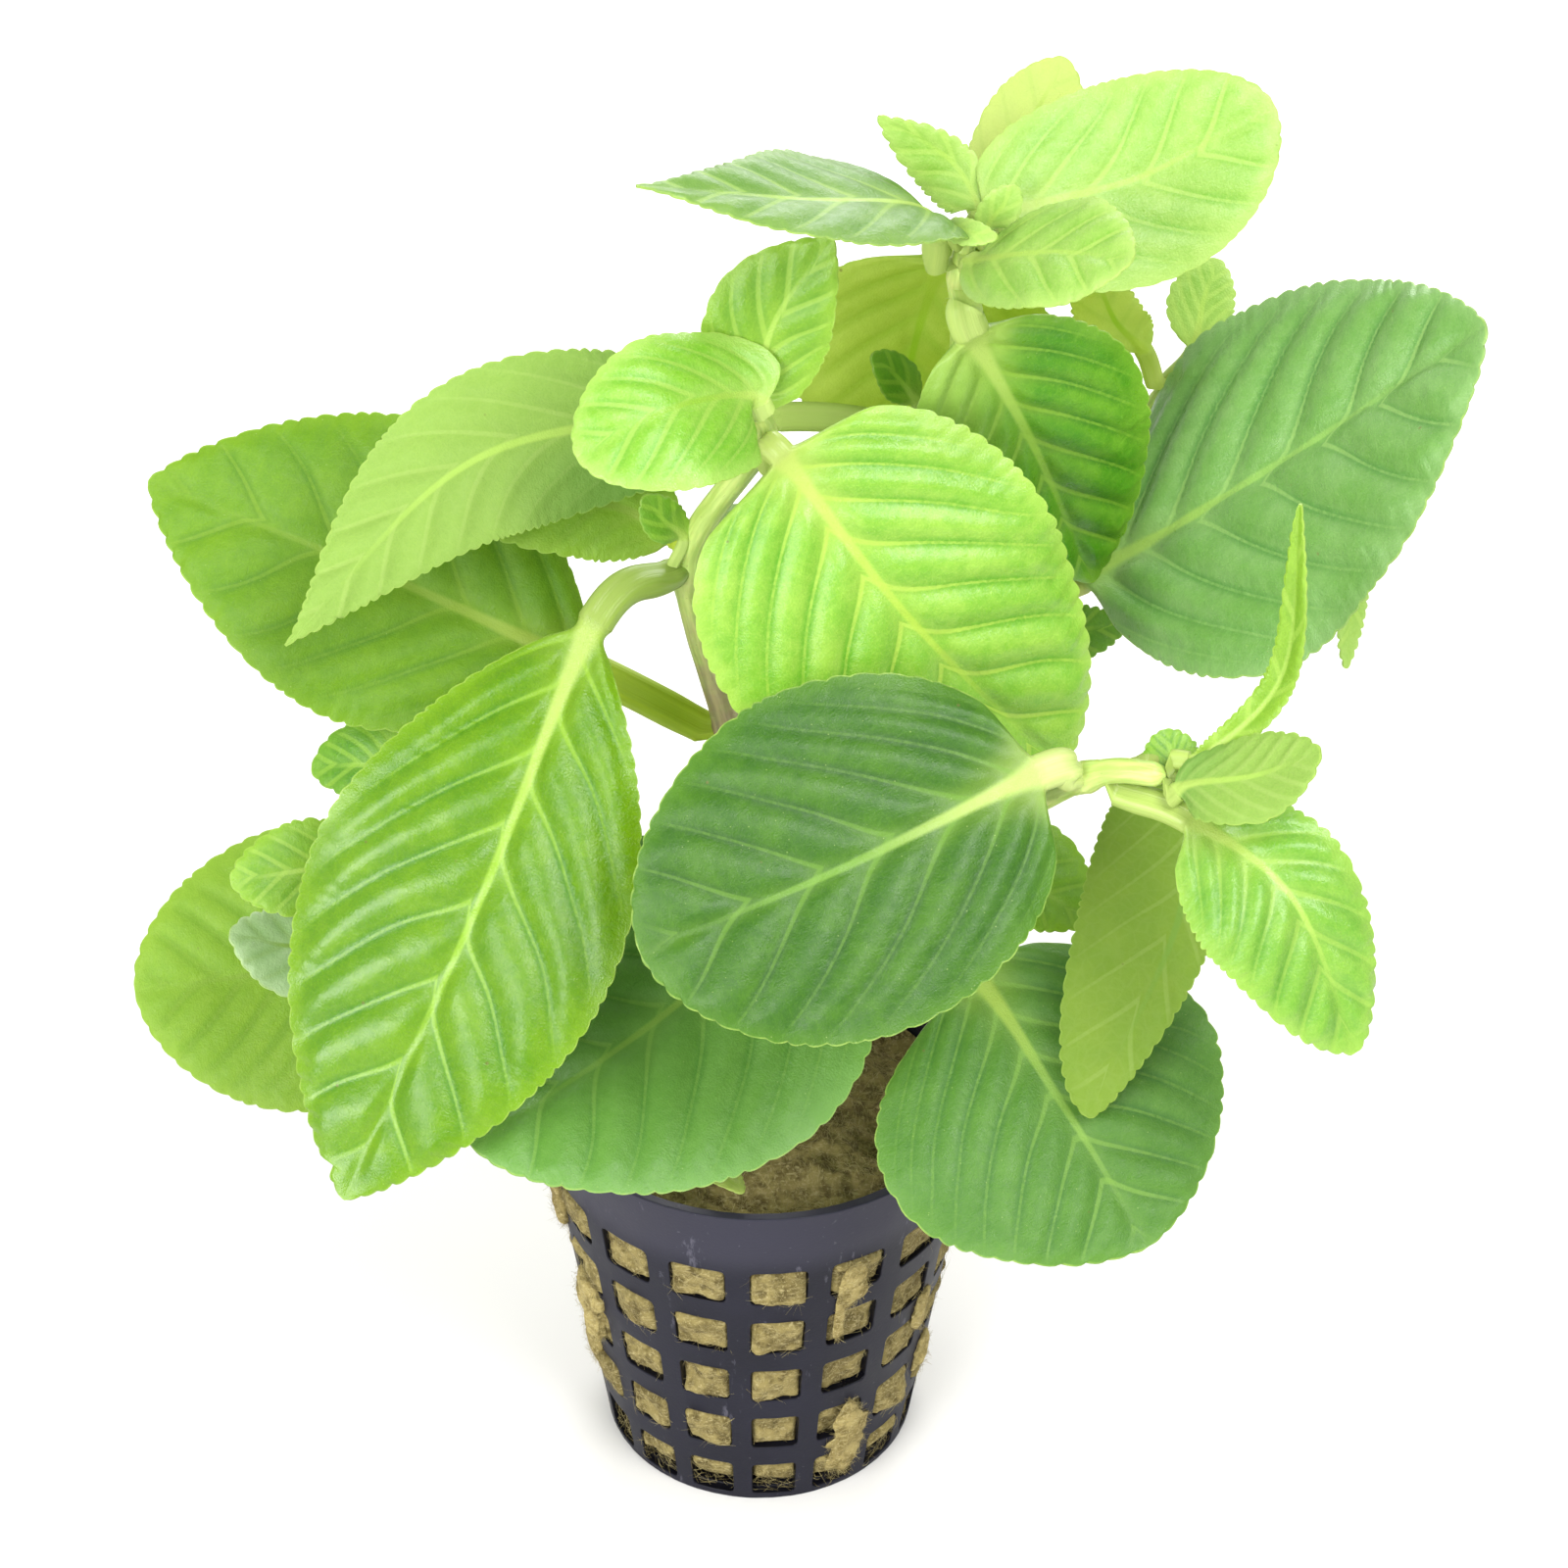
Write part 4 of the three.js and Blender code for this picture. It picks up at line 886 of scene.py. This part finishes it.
def wool_material(name, dark, middle, light):
    """Matted mineral wool: mottled in clumps of one or two millimetres, with fine crossing fibres."""
    made = Shader(name)
    where = made.node("NewGeometry").outputs["Position"]
    large = made.noise(where, 150.0, 3.0, 0.6)
    clumps = made.noise(where, 620.0, 3.0, 0.6)
    fibre = made.noise(made.stretched(where, (1.0, 0.25, 1.0), (0.4, 0.7, 0.3)), 3200.0, 3.0, 0.65)
    crossing = made.noise(made.stretched(where, (0.25, 1.0, 1.0), (0.9, -0.5, 1.2)), 3000.0, 3.0, 0.65)
    strand = made.math("MAXIMUM", fibre, crossing)
    colour = made.layers(
        dark, (made.ramp(clumps, 0.34, 0.6), middle), (made.ramp(large, 0.5, 0.36, 0.0, 0.6), dark),
        (made.ramp(strand, 0.52, 0.72, 0.0, 0.7), light))
    normal = made.bump(clumps, 0.0003, 0.6, made.bump(strand, 0.0001, 0.8))
    return made.finish(made.skin(colour, 0.92, 0.2, {"Normal": normal}))


# Net pot


def pot_radius(height):
    return POT_BOTTOM_RADIUS + (POT_TOP_RADIUS - POT_BOTTOM_RADIUS) * height / POT_HEIGHT


def around_pot(angle, radius, height):
    """Points about the pot's axis, with angle 0 at the front and turning towards +X."""
    return np.stack(np.broadcast_arrays(radius * np.sin(angle), -radius * np.cos(angle), height), -1)


def shell_faces(kept):
    """Faces of a closed shell of two like grids that wrap round in j: its skins, edges and hole sides."""
    rows, columns = kept.shape
    skin = (rows + 1) * columns
    outer, inner, sides = [], [], []
    for i in range(rows):
        for j in range(columns):
            if not kept[i, j]:
                continue
            k = (j + 1) % columns
            a, b = i * columns + j, i * columns + k
            c, d = b + columns, a + columns
            outer.append((a, b, c, d))
            inner.append((d + skin, c + skin, b + skin, a + skin))
            for first, second, beyond in (
                    (a, b, i > 0 and kept[i - 1, j]), (c, d, i + 1 < rows and kept[i + 1, j]),
                    (b, c, kept[i, k]), (d, a, kept[i, j - 1])):
                if not beyond:
                    sides.append((second, first, first + skin, second + skin))
    return outer, inner, sides


def shell_piece(name, outer_points, inner_points, kept, materials):
    """A closed, bevelled piece of the pot. materials: of its outer skin and of the rest."""
    outer, inner, sides = shell_faces(kept)
    vertices = np.concatenate([outer_points.reshape(-1, 3), inner_points.reshape(-1, 3)])
    faces = outward(vertices, outer + inner + sides)
    piece = mesh_piece(name, vertices, faces, materials[0], ["net_pot"], {}, sharp=180)
    piece.data.materials.append(materials[1])
    piece.data.polygons.foreach_set("material_index", [0] * len(outer) + [1] * (len(inner) + len(sides)))
    bevel = piece.modifiers.new("edges", "BEVEL")
    bevel.width, bevel.segments, bevel.limit_method = POT_BEVEL * MM, 2, "ANGLE"
    bevel.angle_limit = math.radians(40)
    bevel.harden_normals = True


def add_pot_wall(materials):
    """The tapered wall: columns of points at the holes' sides and ribs, rows at the holes' heights."""
    pitch, half_hole = 2 * np.pi / HOLE_COLUMNS, HOLE_ANGLE / 2
    corner = HOLE_CORNER / HOLE_RADIUS
    hole_angles = np.array([-half_hole, corner - half_hole, 0, half_hole - corner, half_hole])
    rib_angles = np.linspace(half_hole, pitch - half_hole, 4)[1:-1]
    one_column = np.concatenate([hole_angles, rib_angles])
    angles = (HOLE_PHASE + pitch * np.arange(HOLE_COLUMNS)[:, None] + one_column).ravel()
    heights, hole_rows = [0.0], []
    for row in reversed(range(HOLE_ROWS)):
        top = HOLE_TOP - row * HOLE_PITCH
        bottom = top - HOLE_HEIGHT
        if bottom - heights[-1] > 2:
            heights.append((bottom + heights[-1]) / 2)
        hole_rows.append(len(heights))
        heights += [bottom, bottom + HOLE_CORNER, (bottom + top) / 2, top - HOLE_CORNER, top]
    heights = np.array(heights + [HOLE_TOP + 2, HOLE_TOP + 5, HOLE_TOP + 8, POT_HEIGHT])
    angle_grid = np.repeat(angles[None, :], len(heights), 0)
    height_grid = np.repeat(heights[:, None], len(angles), 1)
    kept = np.ones((len(heights) - 1, len(angles)), bool)
    cut = CORNER_CUT * HOLE_CORNER
    for low in hole_rows:
        for column in range(HOLE_COLUMNS):
            left = column * len(one_column)
            kept[low:low + 4, left:left + 4] = False
            for row, up in ((low, 1), (low + 4, -1)):
                for place, turn in ((left, 1), (left + 4, -1)):
                    angle_grid[row, place] += turn * cut / HOLE_RADIUS
                    height_grid[row, place] += up * cut
    radius = pot_radius(height_grid)
    outer = around_pot(angle_grid, radius, height_grid)
    inner = around_pot(angle_grid, radius - POT_WALL, height_grid)
    shell_piece("pot_wall", outer, inner, kept, materials)


def add_pot_floor(materials):
    """The floor, open at each slot between the slot's two sides and its two radii."""
    radii = np.array(FLOOR_RADII)
    half_slot = np.arcsin(SLOT_WIDTH / 2 / np.maximum(radii, SLOT_INNER_RADIUS))[:, None]
    slot_pitch = 2 * np.pi / SLOT_COUNT
    gaps = np.array([1, 2, 3, 4, 5]) / 6
    slot_columns = [half_slot * np.array([-1, 0, 1]), half_slot + (slot_pitch - 2 * half_slot) * gaps]
    slot_columns = np.concatenate(slot_columns, 1)
    turns = np.concatenate([slot_columns + (slot + 0.5) * slot_pitch for slot in range(SLOT_COUNT)], 1)
    kept = np.ones((len(radii) - 1, turns.shape[1]), bool)
    first, last = FLOOR_RADII.index(SLOT_INNER_RADIUS), FLOOR_RADII.index(SLOT_OUTER_RADIUS)
    for slot in range(SLOT_COUNT):
        left = slot * slot_columns.shape[1]
        kept[first:last, left:left + 2] = False
    across = np.repeat(radii[:, None], turns.shape[1], 1)
    low, high = (np.stack([across * np.cos(turns), across * np.sin(turns), 0 * across + z], -1)
                 for z in (0.02, POT_FLOOR))
    shell_piece("pot_floor", low, high, kept, materials)
    gate = [around_pot(full_turn(20), radius, height) for radius, height in GATE_RINGS]
    ring_piece("pot_gate", gate, materials[0], ["net_pot"])


def add_pot():
    outside = pot_material("pot_outside", shade(24, 24, 34), shade(32, 32, 43), 0.46, 0.3)
    # the inside skin is a darker copy of the same plastic: painted shade on the inner faces and on the cut
    # faces of the rim and holes
    inside = pot_material("pot_inside_shaded", shade(10, 10, 15), shade(18, 18, 26), 0.32, 0.1)
    add_pot_wall((outside, inside))
    add_pot_floor((outside, inside))


# Mineral wool


def strands(starts, ways, lengths, radii, lifts, rng, rings=4):
    """Thin three-sided fibres: points, faces, and a tone for each point as the first of a pair. lifts: how
    far their middles bow out."""
    count = len(starts)
    t = np.linspace(0, 1, rings)[None, :, None]
    ways = unit(ways)
    across = unit(np.cross(ways, rng.normal(size=(count, 3))))
    third = np.cross(ways, across)
    sway = across * rng.normal(0, 0.25, (count, 1)) * lengths[:, None]
    middle = (starts[:, None] + ways[:, None] * lengths[:, None, None] * t + lifts[:, None] * 4 * t * (1 - t)
              + sway[:, None] * t ** 2)
    turns = full_turn(3)
    taper = (1 - 0.75 * t ** 2) * radii[:, None, None]
    ring = (across[:, None, None] * np.cos(turns)[None, None, :, None]
            + third[:, None, None] * np.sin(turns)[None, None, :, None]) * taper[..., None]
    points = (middle[:, :, None] + ring).reshape(-1, 3)
    base = np.arange(count)[:, None] * rings * 3
    faces = []
    for i in range(rings - 1):
        for j in range(3):
            k = (j + 1) % 3
            faces.append(base + np.array([i * 3 + j, i * 3 + k, (i + 1) * 3 + k, (i + 1) * 3 + j]))
    ends = [base + np.array([2, 1, 0]), base + (rings - 1) * 3 + np.array([0, 1, 2])]
    tone = np.repeat(rng.uniform(0, 1, count), rings * 3)
    faces = np.concatenate(faces).tolist() + np.concatenate(ends).tolist()
    return points, faces, np.stack([tone, 0 * tone], -1)


def strand_piece(name, points, faces, tones, material, slot, replaces):
    """A piece from what strands gives, kept clear of the table."""
    points[:, 2] = np.maximum(points[:, 2], TABLE_GAP)
    mesh_piece(name, points, faces, material, replaces, {"tone": tones})


def wool_fibres(name, material, starts, ways, lengths, radii, lifts, rng):
    """Loose fibres of the wool, each with its middle on its start."""
    made = strands(starts - ways * lengths[:, None] / 2, ways, lengths, radii, lifts, rng)
    strand_piece(name, *made, material, "wool", ["wool_plug"])


def hole_share(angle, height):
    """1 in the middle of a hole of the pot's wall and 0 behind its ribs, with the column and row."""
    pitch = 2 * np.pi / HOLE_COLUMNS
    column = np.round((angle - HOLE_PHASE) / pitch)
    off = np.abs(angle - HOLE_PHASE - column * pitch) / (HOLE_ANGLE / 2)
    row = np.round((HOLE_TOP - HOLE_HEIGHT / 2 - height) / HOLE_PITCH)
    middle = HOLE_TOP - HOLE_HEIGHT / 2 - row * HOLE_PITCH
    tall = np.abs(height - middle) / (HOLE_HEIGHT / 2)
    share = (1 - smooth(off, 0.9, 1.08)) * (1 - smooth(tall, 0.86, 1.08))
    inside = (row >= 0) & (row < HOLE_ROWS)
    return share * inside, column.astype(int) % HOLE_COLUMNS, np.clip(row, 0, HOLE_ROWS - 1).astype(int)


def wool_skin(angle, height):
    """Radius of the plug's side: it lies against the wall and swells out into the holes."""
    rng = np.random.default_rng(5)
    fill = rng.uniform(*WOOL_SWELL, (HOLE_COLUMNS, HOLE_ROWS))
    share, column, row = hole_share(angle, height)
    radius = pot_radius(height) - POT_WALL - WOOL_GAP
    spots = around_pot(angle, radius, height)
    rough = lattice_noise(spots, 2.6, 21) * 0.45 + lattice_noise(spots, 1.2, 22) * 0.30
    rough = rough + lattice_noise(spots, 0.6, 23) * 0.16
    lumps = lattice_noise(spots, 3.4, 24)
    swell = share * (fill[column, row] + 0.5 * lumps + rough)
    return radius + swell + (1 - share) * np.minimum(0.25 * rough, 0.1)


def wool_top(x, y):
    """Height of the plug's top: lumpy, and lower in a gap along the wall at the back right."""
    spots = np.stack([x, y, 0 * x], -1)
    radius = np.hypot(x, y)
    dome = WOOL_TOP + WOOL_CROWN * (1 - (radius / WOOL_RADIUS) ** 2)
    lumps = 1.6 * lattice_noise(spots, 7, 31) - 1.5 * np.abs(lattice_noise(spots, 4.2, 32))
    fine = 0.6 * lattice_noise(spots, 1.7, 33) + 0.3 * lattice_noise(spots, 0.8, 34)
    gap = 5 * smooth(x * 0.8 + y * 0.6, 12, 22)
    return dome + lumps + fine - gap - 1.2


def add_plug(material):
    """The plug as rings of points, from the middle of its bottom up its side to the middle of its top."""
    angles = full_turn(320)
    low, shoulder = POT_FLOOR + 0.3, WOOL_TOP - WOOL_EDGE
    rings = []
    for share in np.linspace(0.02, 1, 10):
        rings.append(around_pot(angles, (pot_radius(low) - POT_WALL - WOOL_EDGE) * share, low))
    for turn in np.linspace(0, np.pi / 2, 6)[1:]:
        height = low + WOOL_EDGE * (1 - np.cos(turn))
        rings.append(around_pot(angles, wool_skin(angles, height) - WOOL_EDGE * (1 - np.sin(turn)), height))
    for height in np.linspace(low + WOOL_EDGE, shoulder, 96)[1:]:
        rings.append(around_pot(angles, wool_skin(angles, height), height))
    rim = wool_skin(angles, shoulder)
    for share in np.concatenate([np.linspace(0.985, 0.9, 5), np.linspace(0.87, 0.02, 44)]):
        ring = around_pot(angles, rim * share, 0 * angles)
        ease = smooth(1 - share, 0, 0.12)
        ring[:, 2] = shoulder + (wool_top(ring[:, 0], ring[:, 1]) - shoulder) * ease
        rings.append(ring)
    ring_piece("wool_plug_felt", rings, material, ["wool_plug"], sharp=180)


def add_plug_fibres(fibre):
    """Fibres that lie along the wool in the holes, and others on the plug's top."""
    rng = np.random.default_rng(41)
    count = int(SIDE_FIBRES * FIBRE_SHARE)
    column = rng.integers(0, HOLE_COLUMNS, count)
    row = rng.integers(0, HOLE_ROWS, count)
    angle = HOLE_PHASE + column * 2 * np.pi / HOLE_COLUMNS + rng.uniform(-0.5, 0.5, count) * HOLE_ANGLE
    height = HOLE_TOP - (row + rng.uniform(0, 1, count)) * HOLE_HEIGHT - row * (HOLE_PITCH - HOLE_HEIGHT)
    starts = around_pot(angle, wool_skin(angle, height), height)
    outward_way = around_pot(angle, 1 + 0 * angle, 0 * angle)
    ways = np.stack([outward_way[:, 1], -outward_way[:, 0], 0 * angle], -1) * rng.normal(0, 1, (count, 1))
    ways = unit(ways + np.stack([0 * angle, 0 * angle, rng.normal(0, 0.9, count)], -1)) + outward_way * 0.12
    lengths = rng.uniform(0.8, 2.6, count)
    wool_fibres("wool_side_fibres", fibre, starts, ways, lengths, rng.uniform(0.01, 0.022, count),
                outward_way * rng.uniform(0.02, 0.3, (count, 1)), rng)

    count = int(TOP_FIBRES * FIBRE_SHARE)
    radius = WOOL_RADIUS * np.sqrt(rng.uniform(0, 1, count))
    turn = rng.uniform(0, 2 * np.pi, count)
    x, y = radius * np.cos(turn), radius * np.sin(turn)
    starts = np.stack([x, y, wool_top(x, y) - 0.05], -1)
    ways = unit(rng.normal(size=(count, 3)) * (1, 1, 0.25))
    lengths = rng.uniform(1.2, 4.0, count)
    lifts = np.stack([0 * x, 0 * x, rng.uniform(0.1, 0.9, count)], -1)
    wool_fibres("wool_top_fibres", fibre, starts, ways, lengths, rng.uniform(0.012, 0.03, count), lifts, rng)


def add_tufts(material, fibre):
    """Loose pads of wool that hang on the outside of the wall."""
    rng = np.random.default_rng(77)
    columns, rows = 48, 30
    turns = full_turn(columns)
    for number, (degrees, height, wide, tall, thick) in enumerate(WOOL_TUFTS):
        rings = []
        for lift in np.linspace(0.04, np.pi - 0.04, rows):
            ball = [np.sin(lift) * np.cos(turns), np.sin(lift) * np.sin(turns), np.cos(lift) + 0 * turns]
            ball = np.stack(ball, -1)
            spots = ball * (wide / 2, 1, tall / 2) + 50 * number
            ragged = 1 + sum(size * lattice_noise(spots, cell, 61) for size, cell in WOOL_RAGGED)
            ball = ball * ragged[:, None]
            angle = math.radians(degrees) + ball[:, 0] * wide / 2 / pot_radius(height)
            up = np.maximum(height + ball[:, 2] * tall / 2, TABLE_GAP)
            rings.append(around_pot(angle, pot_radius(up) + 0.15 + ball[:, 1] * thick, up))
        points = np.stack(rings)
        ring_piece(f"wool_tuft_{number}", points, material, ["wool_plug"], sharp=180)
        count = int(PAD_FIBRES * wide * tall * FIBRE_SHARE)
        starts = points[rng.integers(0, rows, count), rng.integers(0, columns, count)]
        away = unit(starts * (1, 1, 0))
        ways = unit(rng.normal(size=(count, 3)) - away * 0.2)
        lengths = rng.uniform(0.8, 2.4, count)
        wool_fibres(f"wool_tuft_{number}_fibres", fibre, starts, ways, lengths,
                    rng.uniform(0.01, 0.02, count), away * rng.uniform(0.03, 0.2, (count, 1)), rng)


def add_wool():
    felt = wool_material("wool_felt", shade(86, 75, 42), shade(136, 123, 76), shade(176, 164, 118))
    pads = wool_material("wool_pads", shade(112, 98, 54), shade(162, 147, 94), shade(194, 181, 132))
    fibre = strand_material("wool_fibres", shade(124, 111, 66), shade(172, 160, 112), 0.75)
    add_plug(felt)
    add_plug_fibres(fibre)
    add_tufts(pads, fibre)


# Camera, floor and light

CAMERA_PLACE = Vector((0.0, -463.0, 449.4)) * MM
CAMERA_YAW = -0.0054
CAMERA_PITCH = 0.6597  # below the horizon
CAMERA_ROLL = 0.005
CAMERA_LENS = 125.24  # on a sensor 36 mm wide
FLOOR_REACH = 4.0  # in metres
WORLD_LIGHT = 0.75
LIGHT_AIM = (0, 0, 80)
# Place of each light, its size in metres and its power in watts.
LIGHTS = {
    "key": ((240, -330, 640), 0.4, 5.0),
    "softbox": ((-400, -560, 400), 0.5, 5.5),
    "backlight": ((80, 560, 380), 0.5, 3.5),
}


def add_camera():
    lens = bpy.data.cameras.new("camera")
    lens.lens, lens.sensor_width, lens.sensor_fit = CAMERA_LENS, 36.0, "HORIZONTAL"
    lens.clip_start, lens.clip_end = 0.01, 20.0
    camera = bpy.data.objects.new("camera", lens)
    turned, level_share = math.sin(CAMERA_YAW), math.cos(CAMERA_PITCH)
    ahead = Vector((-turned * level_share, math.cos(CAMERA_YAW) * level_share, -math.sin(CAMERA_PITCH)))
    level = Vector((math.cos(CAMERA_YAW), turned, 0.0))
    upright = level.cross(ahead)
    right = level * math.cos(CAMERA_ROLL) + upright * math.sin(CAMERA_ROLL)
    above = upright * math.cos(CAMERA_ROLL) - level * math.sin(CAMERA_ROLL)
    camera.matrix_world = Matrix((
        (right.x, above.x, -ahead.x, CAMERA_PLACE.x),
        (right.y, above.y, -ahead.y, CAMERA_PLACE.y),
        (right.z, above.z, -ahead.z, CAMERA_PLACE.z),
        (0, 0, 0, 1)))
    bpy.context.scene.collection.objects.link(camera)
    bpy.context.scene.camera = camera


def add_floor():
    mesh = bpy.data.meshes.new("floor")
    corners = [(x * FLOOR_REACH, y * FLOOR_REACH, 0) for x, y in ((-1, -1), (1, -1), (1, 1), (-1, 1))]
    mesh.from_pydata(corners, [], [(0, 1, 2, 3)])
    made = Shader("floor")
    where = made.node("NewGeometry").outputs["Position"]
    tone = made.mix(made.noise(where, 3.0), shade(224, 222, 219), shade(226, 225, 223))
    mesh.materials.append(made.finish(made.skin(tone, 0.8, 0.1)))
    floor = bpy.data.objects.new("floor", mesh)
    bpy.context.scene.collection.objects.link(floor)


def add_light(name, place, size, power):
    lamp = bpy.data.lights.new(name, "AREA")
    lamp.shape, lamp.size, lamp.energy = "DISK", size, power
    holder = bpy.data.objects.new(name, lamp)
    holder.location = Vector(place) * MM
    holder.rotation_mode = "QUATERNION"
    holder.rotation_quaternion = (Vector(place) - Vector(LIGHT_AIM)).to_track_quat("Z", "Y")
    bpy.context.scene.collection.objects.link(holder)


def add_world():
    world = bpy.data.worlds.new("studio")
    world.use_nodes = True
    background = world.node_tree.nodes["Background"]
    background.inputs[0].default_value = (1.0, 1.0, 1.0, 1.0)
    background.inputs[1].default_value = WORLD_LIGHT
    bpy.context.scene.world = world


# The plant


def add_leaf(item, foot, root, grip, seed):
    rings, maps = leaf_mesh(item, foot, root, grip, seed)
    skin = leaf_materials[item["look"]]
    ring_piece(item["name"] + "_grown", rings, skin, [item["name"]], maps)


def add_stem(name, stem, seed):
    """A stem with thicker nodes, fine ridges and a round top, and the hairs on its upper part."""
    sides, rows = 28, 190
    curve = Curve(stem["path"])
    node_shares = np.concatenate([node + NODE_SPAN * np.linspace(-1.5, 1.5, 13) for node in stem["nodes"]])
    shares = np.unique(np.clip(np.concatenate([np.linspace(0, 1, rows), node_shares]), 0, 1))
    centre, along = curve.at(curve.at_share(shares))
    sideways = unit(np.cross(np.array([0.0, 1.0, 0.0]), along))
    back = np.cross(along, sideways)
    angles = full_turn(sides)
    radius = stem_radius(stem, shares)[:, None]
    dome = np.sqrt(np.clip(1 - ((shares[:, None] - 0.985) / 0.015).clip(0, 1) ** 2, 0.02, 1))
    ridges = 1 + 0.02 * np.cos(4 * angles)[None, :] + 0.008 * np.cos(9 * angles + seed)[None, :]
    steps = [(shares - node) / (0.35 * NODE_SPAN) for node in stem["nodes"]]
    collar = np.max([np.exp(-(step ** 2)) for step in steps], axis=0)
    points = centre[:, None] + 0 * angles[None, :, None]
    around = np.stack([np.cos(angles), np.sin(angles), 0 * angles], -1) * 2
    bumps = 1 + 0.03 * lattice_noise(points + around, 3, seed)
    reach = radius * dome * ridges * bumps * (1 + 0.05 * collar[:, None])
    ring = (points + sideways[:, None] * (reach * np.cos(angles))[..., None]
            + back[:, None] * (reach * np.sin(angles))[..., None])
    length = curve.reach[-1]
    skin = np.stack(np.broadcast_arrays((angles * 1.6)[None, :], (shares * length)[:, None]), -1)
    place = np.stack(np.broadcast_arrays(shares[:, None], collar[:, None] + 0 * angles), -1)
    ring_piece(name + "_grown", ring, stem_skin, [name], {"skin": skin, "place": place})

    rng = np.random.default_rng(500 + seed)
    count = int(HAIR_COUNT * FIBRE_SHARE)
    row = rng.integers(np.searchsorted(shares, HAIRY_FROM), np.searchsorted(shares, 0.98), count)
    starts = ring[row, rng.integers(0, sides, count)]
    ways = unit(starts - centre[row]) + 0.35 * rng.normal(size=(count, 3))
    lengths = rng.uniform(*HAIR_LENGTHS, count)
    hairs = strands(starts, ways, lengths, np.full(count, HAIR_RADIUS), 0 * starts, rng, rings=3)
    strand_piece(name + "_hairs", *hairs, hair_skin, "stem", [name])


# The scene

add_camera()
add_floor()
add_world()
for light_name, light in LIGHTS.items():
    add_light(light_name, *light)
bpy.context.scene.view_settings.view_transform = "Standard"

add_pot()
add_wool()
leaf_materials = {name: leaf_material(name, **look) for name, look in LOOKS.items()}
stem_skin = stem_material()
hair_skin = strand_material("stem_hairs", shade(176, 192, 116), shade(206, 216, 158), 0.5)
for order, (stem_name, stem) in enumerate(STEMS.items()):
    add_stem(stem_name, stem, order)
    for number, item in enumerate(LEAVES[stem_name]):
        foot, root = leaf_foot(item, stem)
        add_leaf(item, foot, root, stem_radius(stem, item["at"]), 100 * (order + 1) + number)
add_leaf(SPROUT, np.array(SPROUT_FOOT, float), None, 1.0, 7)
